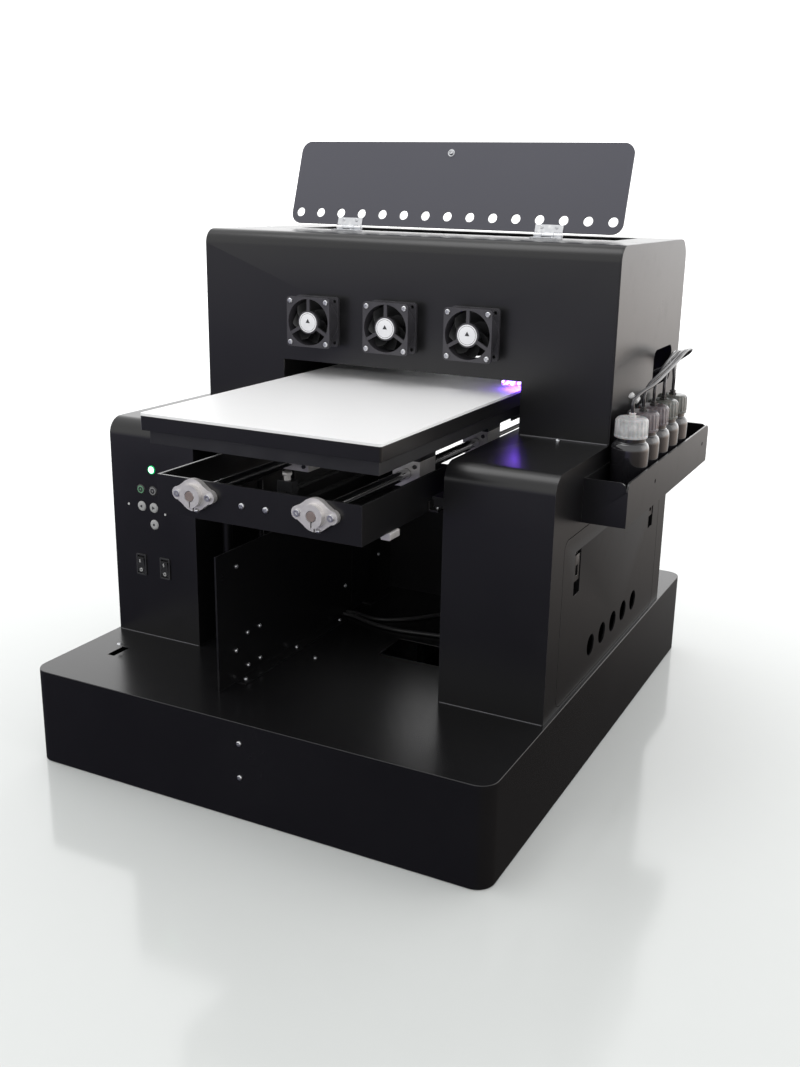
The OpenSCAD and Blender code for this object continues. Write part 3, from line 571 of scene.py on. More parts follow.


# Plain mouldings: the material's name, its colour, its roughness and its grain's depth in mm.
# Behind the fans, a near-black disc paints the shade inside the housing; along sheet edges, a pale
# strip paints a highlight.
MOULDINGS = {
    "fan_plastic": ("fan_frame_plastic", (0.028, 0.026, 0.032), 0.34, 0.02),
    "blade_plastic": ("fan_blade_plastic", (0.012, 0.012, 0.013), 0.28, 0.008),
    "switch_plastic": ("switch_plastic", (0.014, 0.014, 0.015), 0.3, 0.02),
    "cable_jacket": ("cable_jacket", (0.012, 0.012, 0.013), 0.42, 0.03),
    "head_case": ("head_case_plastic", (0.11, 0.11, 0.12), 0.4, 0.02),
    "chip_resin": ("chip_resin", (0.02, 0.02, 0.021), 0.5, 0.03),
    "mark_white": ("printed_mark", (0.5, 0.5, 0.5), 0.5, 0.01),
    "mark_grey": ("grey_mark", (0.2, 0.2, 0.2), 0.5, 0.01),
    "mark_green": ("green_mark", (0.1, 0.3, 0.15), 0.5, 0.01),
    # a pale strip painted along sheet edges as a highlight
    "painted_edge_highlight": ("sheet_painted_edge_highlight", (0.13, 0.13, 0.14), 0.4, 0.02),
    # a near-black disc that paints the shade behind each fan
    "fan_shade_disc": ("fan_shade_disc", (0.006, 0.006, 0.007), 0.8, 0.3),
}

# Bottle caps: the material's name, its colour and how far it mottles towards white
CAPS = {
    "clear_cap": ("grey_white_cap", (0.3, 0.3, 0.305), 0.35),
    "mauve_cap": ("mauve_cap", (0.055, 0.038, 0.047), 0.06),
    "olive_cap": ("olive_cap", (0.048, 0.05, 0.042), 0.06),
}

RECIPES = {
    make.__name__: make
    for make in (
        black_sheet, floor_sheet, lid_sheet, bed_white, black_aluminium, motor_case,
        cast_aluminium, bright_steel, zinc_steel, latch_metal, black_oxide, shaft_end,
        belt_rubber, button_plastic, bottle_plastic, tube_plastic, led_green, led_rim,
        lamp_glass, board_green, supply_case, hub_label, brass,
    )
}  # fmt: skip
MADE = {}


def finish_named(name):
    """The material of that name, made the first time that it is asked for."""
    if name not in MADE:
        if name in MOULDINGS:
            MADE[name] = moulded(*MOULDINGS[name])
        elif name in CAPS:
            MADE[name] = cap_plastic(*CAPS[name])
        else:
            MADE[name] = RECIPES[name](finishes())
    return MADE[name]


# ---------- building pieces ----------


def linked(name, data):
    """A new object in the scene."""
    made = bpy.data.objects.new(name, data)
    bpy.context.scene.collection.objects.link(made)
    return made


def piece(name, mesh, node, finish=None, replaces=True):
    """Makes an object of a mesh, on the body of a CAD node, in a finish and a material slot."""
    if isinstance(mesh, bmesh.types.BMesh):
        data = bpy.data.meshes.new(name)
        bmesh.ops.recalc_face_normals(mesh, faces=mesh.faces)
        mesh.to_mesh(data)
        mesh.free()
        data.shade_smooth()
        data.set_sharp_from_angle(angle=math.radians(SHARP))
        mesh = data
    made = linked(name, mesh)
    made.data.materials.append(finish_named(finish or SLOT_OF[node]))
    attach(made, BODY_OF[node])
    if replaces:
        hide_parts(node)
    return made


def rounded(made, width, segments=2):
    """Rounds the sharp edges of a piece."""
    bevel = made.modifiers.new("rounded_edges", "BEVEL")
    bevel.width, bevel.segments = width, segments
    bevel.limit_method, bevel.angle_limit = "ANGLE", math.radians(SHARP)
    bevel.harden_normals = True
    return made


def joined_faces(node):
    """A copy of a node's mesh with the triangles of each flat face joined."""
    mesh = bmesh.new()
    mesh.from_mesh(frame["nodes"][node].data)
    bmesh.ops.remove_doubles(mesh, verts=mesh.verts, dist=WELD)
    bmesh.ops.dissolve_limit(
        mesh, angle_limit=math.radians(0.5), verts=mesh.verts, edges=mesh.edges
    )
    return mesh


def refined(node, finish=None, width=0.4, keep=None, name=None, segments=2):
    """A sub-part with joined faces and rounded edges. keep picks its faces by their centres."""
    mesh = joined_faces(node)
    if keep:
        drop = [f for f in mesh.faces if not keep(f.calc_center_median())]
        bmesh.ops.delete(mesh, geom=drop, context="FACES")
    return rounded(piece(name or node + "_finished", mesh, node, finish), width * MM, segments)


def skin(mesh, rings):
    """Joins each ring of vertices to the next by a band of faces."""
    for low, high in zip(rings, rings[1:]):
        for i, vert in enumerate(low):
            j = (i + 1) % len(low)
            mesh.faces.new([vert, low[j], high[j], high[i]])


def turned(mesh, profile, centre, axis=Z, steps=48):
    """Adds a lathed solid: (radius, height) points about an axis, closed at its two ends."""
    turn = axis.to_track_quat("Z", "Y").to_matrix()
    rings = []
    for radius, height in profile:
        if radius < 1e-7:
            rings.append([mesh.verts.new(centre + turn @ Vector((0, 0, height)))])
            continue
        rings.append([
            mesh.verts.new(centre + turn @ Vector((
                radius * math.cos(2 * math.pi * i / steps),
                radius * math.sin(2 * math.pi * i / steps),
                height,
            )))
            for i in range(steps)
        ])  # fmt: skip
    for low, high in zip(rings, rings[1:]):
        for i in range(steps):
            j = (i + 1) % steps
            corners = [low[i % len(low)], low[j % len(low)]]
            corners += [high[j % len(high)], high[i % len(high)]]
            unique = list(dict.fromkeys(corners))
            if len(unique) > 2:
                mesh.faces.new(unique)
    for ring in (rings[0], rings[-1]):
        if len(ring) > 2:
            mesh.faces.new(ring)
    return mesh


def block(mesh, low, high):
    """Adds a box between two corners."""
    made = bmesh.ops.create_cube(mesh, size=1)["verts"]
    for vert in made:
        vert.co = Vector([low[i] if vert.co[i] < 0 else high[i] for i in range(3)])
    return made


def prism(mesh, outline, start, direction, depth, across=None):
    """Adds a solid: an outline of (across, up) points pushed along a direction."""
    across = across or direction.cross(Z).normalized()
    up = across.cross(direction).normalized()
    near = [mesh.verts.new(start + across * a + up * b) for a, b in outline]
    far = [mesh.verts.new(v.co + direction * depth) for v in near]
    mesh.faces.new(near)
    mesh.faces.new(far[::-1])
    for i, vert in enumerate(near):
        j = (i + 1) % len(near)
        mesh.faces.new([vert, far[i], far[j], near[j]])


def in_mm(*points):
    """Outline points given in millimetres."""
    return [(a * MM, b * MM) for a, b in points]


def ring_points(radius, steps, turn=0.0, lobes=0, lobe=0.0):
    """Points of a circle, or of a fluted one."""
    points = []
    for i in range(steps):
        a = 2 * math.pi * i / steps + turn
        r = radius + (lobe * math.cos(lobes * a) if lobes else 0)
        points.append((r * math.cos(a), r * math.sin(a)))
    return points


def turned_ring(mesh, profile, centre, axis, steps=48):
    """Adds a lathed ring: a closed outline that stays clear of its axis."""
    turn = axis.to_track_quat("Z", "Y").to_matrix()
    rings = []
    for radius, height in profile[:-1]:
        rings.append([
            mesh.verts.new(centre + turn @ Vector((x, y, height)))
            for x, y in ring_points(radius, steps)
        ])  # fmt: skip
    skin(mesh, rings + rings[:1])
    return mesh


def round_tray(width, height, radius, steps=6):
    """Outline of a rectangle with round corners, about its centre."""
    points = []
    for sx, sy, start in ((1, 1, 0), (-1, 1, 90), (-1, -1, 180), (1, -1, 270)):
        for i in range(steps + 1):
            a = math.radians(start + 90 * i / steps)
            points.append((
                sx * (width / 2 - radius) + radius * math.cos(a),
                sy * (height / 2 - radius) + radius * math.sin(a),
            ))  # fmt: skip
    return points


def recess_outline(kind, radius):
    """The driver recess of a screw: a cross or a hexagon."""
    if kind == "hex":
        return ring_points(radius * 0.52, 6)
    long, half = radius * 0.6, radius * 0.16
    return [
        (long, half), (half, half), (half, long), (-half, long), (-half, half), (-long, half),
        (-long, -half), (-half, -half), (-half, -long), (half, -long), (half, -half), (long, -half),
    ]  # fmt: skip


def screw_head(kind, radius, height):
    """A screw head along +Z from its seat, with a driver recess and a washer face."""
    mesh, steps = bmesh.new(), 28
    profile = [(radius * 1.0, 0), (radius, height * 0.45), (radius * 0.9, height * 0.78)]
    if kind == "hex":
        profile = [(radius, 0), (radius, height * 0.88), (radius * 0.92, height)]
    else:
        profile.append((radius * 0.7, height))
    rings = [
        [mesh.verts.new((x, y, h)) for x, y in ring_points(r, steps)] for r, h in profile
    ]
    mesh.faces.new(rings[0][::-1])
    skin(mesh, rings)
    outline = recess_outline(kind, radius)
    rim = [mesh.verts.new((x, y, height)) for x, y in outline]
    floor = [mesh.verts.new((x * 0.9, y * 0.9, height * 0.35)) for x, y in outline]
    mesh.faces.new(floor)
    for i, vert in enumerate(rim):
        j = (i + 1) % len(rim)
        mesh.faces.new([vert, rim[j], floor[j], floor[i]])
    mesh.verts.index_update()
    loops = [
        mesh.edges.get((ring[i], ring[(i + 1) % len(ring)])) for ring in (rings[-1], rim)
        for i in range(len(ring))
    ]
    bmesh.ops.triangle_fill(mesh, use_beauty=True, edges=loops, normal=(0, 0, 1))
    data = bpy.data.meshes.new("screw_head")
    bmesh.ops.recalc_face_normals(mesh, faces=mesh.faces)
    mesh.to_mesh(data)
    mesh.free()
    return data


def screws(name, places, node, kind="cross", radius=2.6, height=1.6, finish="zinc_steel",
           replaces=False):  # fmt: skip
    """One piece of screw heads at (seat, direction) places. Radii and heights are in mm."""
    head = screw_head(kind, radius * MM, height * MM)
    mesh = bmesh.new()
    for i, (seat, direction) in enumerate(places):
        turn = direction.to_track_quat("Z", "Y").to_matrix().to_4x4()
        spin = Matrix.Rotation(0.7 + 1.9 * i, 4, "Z")
        before = len(mesh.verts)
        mesh.from_mesh(head)
        mesh.verts.ensure_lookup_table()
        for vert in mesh.verts[before:]:
            vert.co = Matrix.Translation(seat) @ turn @ spin @ vert.co
    bpy.data.meshes.remove(head)
    return piece(name, mesh, node, finish, replaces)


def tube_curve(name, points, diameter, node, finish=None):
    """A round tube on one smooth curve through the points."""
    curve = bpy.data.curves.new(name, "CURVE")
    curve.dimensions, curve.bevel_depth, curve.bevel_resolution = "3D", diameter / 2, 4
    curve.resolution_u, curve.use_fill_caps = 6, True
    line = curve.splines.new("BEZIER")
    line.bezier_points.add(len(points) - 1)
    for knot, point in zip(line.bezier_points, points):
        knot.co, knot.handle_left_type, knot.handle_right_type = point, "AUTO", "AUTO"
    return piece(name, curve, node, finish)


def line_length(curve):
    """The length of a smooth curve's centreline."""
    line, total = curve.splines[0], 0.0
    knots = line.bezier_points
    for a, b in zip(knots, knots[1:]):
        last = a.co
        for i in range(1, 13):
            t = i / 12
            s = 1 - t
            p = s**3 * a.co + 3 * s * s * t * a.handle_right
            p = p + 3 * s * t * t * b.handle_left + t**3 * b.co
            total += (p - last).length
            last = p
    return total


def threaded(mesh, start, radius, length, pitch, depth, steps=20, rows_per_pitch=6):
    """Adds a rod along +Z with a screw thread cut into it."""
    rows = int(length / pitch * rows_per_pitch)
    rings = []
    for row in range(rows + 1):
        height = length * row / rows
        ring = []
        for i in range(steps):
            wave = (height / pitch - i / steps) % 1
            r = radius - depth * abs(2 * wave - 1)
            a = 2 * math.pi * i / steps
            ring.append(mesh.verts.new(start + Vector((r * math.cos(a), r * math.sin(a), height))))
        rings.append(ring)
    skin(mesh, rings)
    mesh.faces.new(rings[0][::-1])
    mesh.faces.new(rings[-1])


def belt_with_teeth(node, along):
    """A belt with moulded teeth inside its two strands. along is its long axis."""
    mesh = joined_faces(node)
    low, high = box(node)
    radius = (high.z - low.z) / 2
    pitch, tooth, skin = 3 * MM, 1.5 * MM, 1.5 * MM
    run = high[along] - low[along] - 2 * radius
    for i in range(int(run / pitch)):
        at = low[along] + radius + (i + 0.5) * pitch
        for top in (low.z + skin, high.z - skin):
            inward = 1.1 * MM * (1 if top < low.z + radius else -1)
            a, b = Vector(low), Vector(high)
            a[along], b[along] = at - tooth / 2, at + tooth / 2
            a.z, b.z = sorted((top - 0.1 * inward, top + inward))
            a[1 - along] += 0.2 * MM
            b[1 - along] -= 0.2 * MM
            block(mesh, a, b)
    return piece(node + "_toothed", mesh, node)


def pulley(node, axis, flange):
    """A pulley: the plain one with two flanges added."""
    low, high = box(node)
    mesh = joined_faces(node)
    radius = (high.z - low.z) / 2
    side = X if axis == 0 else Y
    centre = (low + high) / 2
    centre[axis] = low[axis]
    for start in (0, 8.6):
        rim = [(0, 0), (radius + flange * 0.8, 0), (radius + flange, 0.5 * MM), (0, 0.9 * MM)]
        turned(mesh, rim, centre + side * start * MM, side)
    return piece(node + "_flanged", mesh, node)


# ---------- settings ----------


class PrinterFinish(bpy.types.PropertyGroup):
    """Colours of the printer's finishes."""

    coat: FloatVectorProperty(
        name="Cabinet coat", description="Powder coat of the folded sheet parts",
        subtype="COLOR", default=(0.0042, 0.0041, 0.0047), min=0, max=1,
    )  # fmt: skip
    lid: FloatVectorProperty(
        name="Lid coat", description="Powder coat of the hinged lid",
        subtype="COLOR", default=(0.06, 0.06, 0.078), min=0, max=1,
    )  # fmt: skip
    bed: FloatVectorProperty(
        name="Bed plate", description="White coat of the print bed",
        subtype="COLOR", default=(0.83, 0.83, 0.83), min=0, max=1,
    )  # fmt: skip
    key: FloatVectorProperty(
        name="Keys", description="Plastic of the round keys",
        subtype="COLOR", default=(0.36, 0.36, 0.36), min=0, max=1,
    )  # fmt: skip
    led: FloatVectorProperty(
        name="Power light", description="Colour of the lit power light",
        subtype="COLOR", default=(0.02, 0.85, 0.3), min=0, max=1,
    )  # fmt: skip
    uv: FloatVectorProperty(
        name="Curing light", description="Colour of the curing lamp's light",
        subtype="COLOR", default=(0.16, 0.02, 1.0), min=0, max=1,
    )  # fmt: skip


class PrinterSizes(bpy.types.PropertyGroup):
    """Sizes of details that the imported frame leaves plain."""

    sheet_edge: FloatProperty(
        name="Sheet edge", description="Rounding of the folded sheet's cut edges",
        unit="LENGTH", default=0.0005, min=0.0001, max=0.0009,
    )  # fmt: skip
    fan_blades: IntProperty(
        name="Fan blades", description="Number of blades on each fan", default=7, min=5, max=9
    )
    cap_ribs: IntProperty(
        name="Cap ribs", description="Number of grip ribs round a bottle cap", default=22, min=12,
        max=40,
    )  # fmt: skip
    screw_pitch: FloatProperty(
        name="Lift screw pitch", description="Distance between the lift screws' threads",
        unit="LENGTH", default=0.002, min=0.001, max=0.004,
    )  # fmt: skip
    key_dome: FloatProperty(
        name="Key dome", description="Height of the round keys' domes", unit="LENGTH",
        default=0.0006, min=0, max=0.001,
    )  # fmt: skip


# ---------- stage and cords ----------

# The camera: its place in metres, and its heading, dip and roll in degrees
CAMERA_AT = (0.6425, -1.2522, 0.6567)
CAMERA_TURN = (25.98, 16.34, 1.306)
CAMERA_LENS, CAMERA_SHIFT = 38.22, (-0.0205, -0.0116)

# Brightness of the studio's walls, front and back, by the height of the view: 0 down, 1 up
FRONT_WALL = ((0.3, 0.02), (0.39, 0.055), (0.46, 0.15), (0.495, 0.39), (0.6, 0.46), (0.85, 0.4))
BACK_WALL = ((0.3, 0.015), (0.38, 0.12), (0.45, 0.56), (0.5, 0.8), (0.6, 0.85), (0.85, 0.36))
SKY_STRENGTH = 2.6
NEUTRAL, COOL, WARM = (1.0, 1.0, 1.0), (0.95, 0.89, 1.38), (1.16, 0.98, 0.86)
FLOOR_REACH = 40  # metres: far enough that its rim meets the horizon

# Ink tubes and floor cables: their points from the base's front left corner, in metres
TUBES = (
    ((0.561, 0.557, 0.440), (0.568, 0.558, 0.443), (0.575, 0.558, 0.447), (0.584, 0.558, 0.453),
     (0.592, 0.556, 0.459), (0.600, 0.549, 0.465), (0.605, 0.540, 0.470), (0.608, 0.510, 0.474),
     (0.608, 0.485, 0.471), (0.608, 0.460, 0.466), (0.608, 0.410, 0.458), (0.606, 0.360, 0.450),
     (0.600, 0.332, 0.444), (0.597, 0.320, 0.437), (0.597, 0.320, 0.425)),
    ((0.561, 0.549, 0.440), (0.568, 0.550, 0.443), (0.575, 0.550, 0.447), (0.583, 0.549, 0.453),
     (0.590, 0.547, 0.459), (0.596, 0.541, 0.465), (0.601, 0.532, 0.470), (0.603, 0.519, 0.472),
     (0.603, 0.505, 0.472), (0.603, 0.485, 0.470), (0.603, 0.465, 0.466), (0.603, 0.425, 0.460),
     (0.601, 0.393, 0.454), (0.598, 0.374, 0.447), (0.597, 0.364, 0.438), (0.597, 0.364, 0.425)),
    ((0.561, 0.541, 0.440), (0.568, 0.542, 0.443), (0.575, 0.542, 0.447), (0.582, 0.541, 0.453),
     (0.588, 0.539, 0.458), (0.593, 0.532, 0.464), (0.597, 0.524, 0.469), (0.598, 0.512, 0.471),
     (0.598, 0.500, 0.472), (0.598, 0.485, 0.470), (0.598, 0.470, 0.468), (0.598, 0.445, 0.463),
     (0.598, 0.426, 0.456), (0.597, 0.413, 0.448), (0.597, 0.408, 0.438), (0.597, 0.408, 0.425)),
    ((0.561, 0.533, 0.440), (0.568, 0.534, 0.443), (0.574, 0.534, 0.447), (0.579, 0.533, 0.452),
     (0.584, 0.531, 0.458), (0.588, 0.525, 0.464), (0.592, 0.517, 0.468), (0.593, 0.508, 0.470),
     (0.593, 0.500, 0.470), (0.594, 0.492, 0.469), (0.594, 0.484, 0.467), (0.595, 0.470, 0.460),
     (0.596, 0.459, 0.450), (0.597, 0.452, 0.438), (0.597, 0.452, 0.425)),
    ((0.561, 0.525, 0.440), (0.567, 0.526, 0.443), (0.573, 0.526, 0.446), (0.578, 0.524, 0.451),
     (0.582, 0.522, 0.456), (0.585, 0.518, 0.460), (0.588, 0.514, 0.463), (0.590, 0.510, 0.464),
     (0.592, 0.505, 0.463), (0.594, 0.501, 0.460), (0.595, 0.498, 0.455), (0.596, 0.497, 0.448),
     (0.597, 0.496, 0.441), (0.597, 0.496, 0.433), (0.597, 0.496, 0.425)),
)  # fmt: skip
TUBE_WIDTH = 0.004
CABLES = (
    ((0.227, 0.335), (0.240, 0.335), (0.256, 0.331), (0.270, 0.329), (0.286, 0.333),
     (0.302, 0.343), (0.314, 0.353), (0.324, 0.364), (0.334, 0.377), (0.344, 0.390),
     (0.356, 0.402), (0.368, 0.412), (0.383, 0.419), (0.398, 0.424), (0.414, 0.427),
     (0.428, 0.429), (0.450, 0.429)),
    ((0.227, 0.325), (0.242, 0.325), (0.256, 0.320), (0.270, 0.315), (0.286, 0.311),
     (0.302, 0.309), (0.318, 0.309), (0.334, 0.311), (0.350, 0.314), (0.366, 0.317),
     (0.382, 0.320), (0.398, 0.322), (0.414, 0.323), (0.430, 0.324), (0.450, 0.324)),
)  # fmt: skip
CABLE_WIDTH, CABLE_HEIGHT = 0.005, 0.1165


def soft_light(name, power, size, at, aim, colour=(1, 1, 1)):
    lamp = bpy.data.lights.new(name, "AREA")
    lamp.energy, lamp.size, lamp.color = power, size, colour
    made = linked(name, lamp)
    made.location = at
    made.rotation_euler = (Vector(aim) - Vector(at)).to_track_quat("-Z", "Y").to_euler()
    return made


class PRINTER_OT_stage(bpy.types.Operator):
    """Puts up the camera, the pale floor and the studio lights"""

    bl_idname = "printer.stage"
    bl_label = "Stage"

    def execute(self, context):
        scene = context.scene
        scene.view_settings.view_transform = "Standard"
        data = bpy.data.cameras.new("camera")
        data.sensor_width, data.lens = 36, CAMERA_LENS
        data.shift_x, data.shift_y = CAMERA_SHIFT
        data.clip_start, data.clip_end = 0.05, 60
        camera = linked("camera", data)
        heading, dip, roll = (math.radians(a) for a in CAMERA_TURN)
        turn = Matrix.Rotation(heading, 4, "Z") @ Matrix.Rotation(math.pi / 2 - dip, 4, "X")
        camera.matrix_world = (
            Matrix.Translation(CAMERA_AT) @ turn @ Matrix.Rotation(roll, 4, "Z")
        )
        scene.camera = camera

        self.sky()
        soft_light("top_light", 9, 1.1, (-0.5, -0.35, 2.2), (0, 0, 0.4))
        soft_light("side_light", 7, 1.6, (2.4, 0.9, 1.2), (0.2, 0, 0.4), (1.0, 0.93, 0.86))
        back = from_corner(0.4, 0.63, 0.16)
        soft_light("floor_glow", 0.035, 0.085, back, back - Z)
        self.floor()
        return {"FINISHED"}

    def sky(self):
        """Studio walls: dark near the floor, bright from the horizon up, warmer to the right."""
        world = bpy.data.worlds.new("studio")
        world.use_nodes = True
        look = Sky(world)
        height, depth, side = (look.axis(name) for name in "ZYX")
        front = look.ramp(height * 0.5 + 0.5, FRONT_WALL)
        back = look.ramp(height * 0.5 + 0.5, BACK_WALL)
        cool = look.mix(depth.above(-0.35, 0.9), COOL, NEUTRAL)
        warm = look.mix(side.above(0.1, 0.5), cool, WARM)
        warm = look.mix(height.above(-0.08, 0.07), warm, NEUTRAL)
        shade = look.mix(depth.above(-0.3, 0.9), front, back)
        settings = {"data_type": "RGBA", "blend_type": "MULTIPLY"}
        both = look.node("ShaderNodeMix", settings, {0: 1.0, 6: warm, 7: shade}, out=2)
        look.feed(Color=both, Strength=SKY_STRENGTH)
        bpy.context.scene.world = world

    def floor(self):
        mesh = bmesh.new()
        low, high = -4 * MM, -0.5 * MM
        slab = [(0, low), (FLOOR_REACH, low), (FLOOR_REACH, high), (0, high)]
        turned(mesh, slab, Vector(), steps=96)
        data = bpy.data.meshes.new("floor")
        mesh.to_mesh(data)
        mesh.free()
        made = linked("floor", data)
        look = Look("pale_floor", Specular_IOR_Level=1.0)
        grain = look.noise(40, detail=5)
        look.feed(
            Base_Color=look.mix(grain * 0.5, (0.67, 0.69, 0.68), (0.65, 0.67, 0.66)),
            Roughness=0.1 + grain * 0.04,
        )
        data.materials.append(look.material)
        made.visible_glossy = False


class PRINTER_OT_cords(bpy.types.Operator):
    """Runs the ink tubes over to their caps and lays the cables on the base's floor"""

    bl_idname = "printer.cords"
    bl_label = "Tubes and cables"

    def execute(self, context):
        for i, route in enumerate(TUBES):
            points = [from_corner(*p) for p in route]
            tube = tube_curve(f"ink_tube_{i + 1}", points, TUBE_WIDTH, "ink_tubes")
            line_length(tube.data)  # fmt: skip
        for i, route in enumerate(CABLES):
            points = [from_corner(*p, CABLE_HEIGHT) for p in route]
            cable = tube_curve(f"floor_cable_{i + 1}", points, CABLE_WIDTH, "floor_cables")
            line_length(cable.data)  # fmt: skip
        return {"FINISHED"}


# ---------- cabinet ----------


class PRINTER_OT_cabinet(bpy.types.Operator):
    """Finishes the folded sheet parts of the base, the towers and the housing"""

    bl_idname = "printer.cabinet"
    bl_label = "Cabinet"

    def execute(self, context):
        edge = sizes().sheet_edge / MM
        refined("base_cover", "floor_sheet", 1.6 * edge, segments=3)
        for node in (
            "base_plate", "left_cover", "right_cover", "inner_panels", "rear_panel",
            "housing_cover", "housing_sides", "top_panel",
        ):  # fmt: skip
            refined(node, "black_sheet", edge)
        self.floor_clip()
        self.painted_edge_highlights()
        return {"FINISHED"}

    def floor_clip(self):
        """The small cable clip at the left end of the base's top."""
        top = box("base_cover")[1].z
        start = from_corner(0.046, 0.074, top)
        mesh = bmesh.new()
        side = [(0, 0), (0.028, 0), (0.028, 0.004), (0.02, 0.0075), (0.009, 0.0075), (0.006, 0.003),
                (0, 0.0022)]  # fmt: skip
        prism(mesh, side, start, X, 0.011, across=Y)
        clip = piece("floor_clip", mesh, "base_cover", "switch_plastic", False)
        rounded(clip, 0.5 * MM)
        seat = start + Vector((0.0055, 0.017, 0.0075))
        screws("floor_clip_screw", [(seat, Z)], "base_cover", radius=3.2, height=1.8)

    def painted_edge_highlights(self):
        """Pale strips painted as highlights on lit edges: along each tower's foot, and where the
        housing meets the right one.
        """
        mesh = bmesh.new()
        foot = box("base_cover")[1].z
        for node in ("left_cover", "right_cover"):
            low, high = box(node)
            left, right = low.x + 1.5 * MM, high.x - 1.5 * MM
            block(mesh, (left, low.y - 0.5 * MM, foot), (right, low.y, foot + 0.9 * MM))
        low, high = box("right_cover")
        front, highlight_size = box("housing_cover")[0].y, 1.1 * MM
        left, right = low.x + 16 * MM, high.x - 2 * MM
        block(mesh, (left, front - highlight_size, high.z), (right, front, high.z + highlight_size))
        rounded(piece("painted_edge_highlights", mesh, "base_cover", "painted_edge_highlight", replaces=False), 0.2 * MM)


class PRINTER_OT_lid(bpy.types.Operator):
    """Finishes the pierced lid, its knob and its two hinges"""

    bl_idname = "printer.lid"
    bl_label = "Lid"

    LEAN = math.radians(18)  # how far the open lid leans back from upright

    def execute(self, context):
        refined("lid", "lid_sheet", 0.5, segments=3)
        hinge = next(j for j in RECORD["behaviour"]["joints"] if j["name"] == "lid_hinge")
        self.centre = Vector(hinge["pos_m"])
        self.lean = Matrix.Rotation(-self.LEAN, 3, "X")
        low, high = box("lid")
        length = (high.z - self.centre.z) / math.cos(self.LEAN)
        out = self.lean @ -Y
        knob = self.on_lid((low.x + high.x) / 2 - 0.008, 0.6 * MM, length - 0.014)
        mesh = bmesh.new()
        turned(mesh, [(0, 0), (0.0046, 0), (0.0046, 0.0006), (0, 0.0006)], knob, out, 32)
        piece("lid_knob_washer", mesh, "lid", "zinc_steel", False)
        screws("lid_knob", [(knob + out * 0.6 * MM, out)], "lid", radius=3.2, height=2.2)
        refined("lid_hinge_bases", "zinc_steel", 0.2)
        refined("lid_hinge_leaves", "zinc_steel", 0.2)
        self.hinge_screws(out)
        return {"FINISHED"}

    def on_lid(self, x, y, z):
        """A point given across the row frame and on the lid's own upright face."""
        return Vector((x, self.centre.y, self.centre.z)) + self.lean @ Vector((0, y, z))

    def hinge_screws(self, out):
        leaf, plate = [], []
        top = box("lid_hinge_bases")[0].z
        for low, high in islands("lid_hinge_leaves"):
            middle = (low.x + high.x) / 2
            for dx in (-0.0095, 0.0095):
                leaf.append((self.on_lid(middle + dx, -0.6 * MM, 0.0098), out))
                plate.append((Vector((middle + dx, self.centre.y - 0.0118, top + 1.2 * MM)), Z))
        screws("lid_leaf_screws", leaf, "lid_hinge_leaves", radius=2.2, height=0.9)
        screws("lid_base_screws", plate, "lid_hinge_bases", radius=2.2, height=0.9)


# ---------- fans ----------


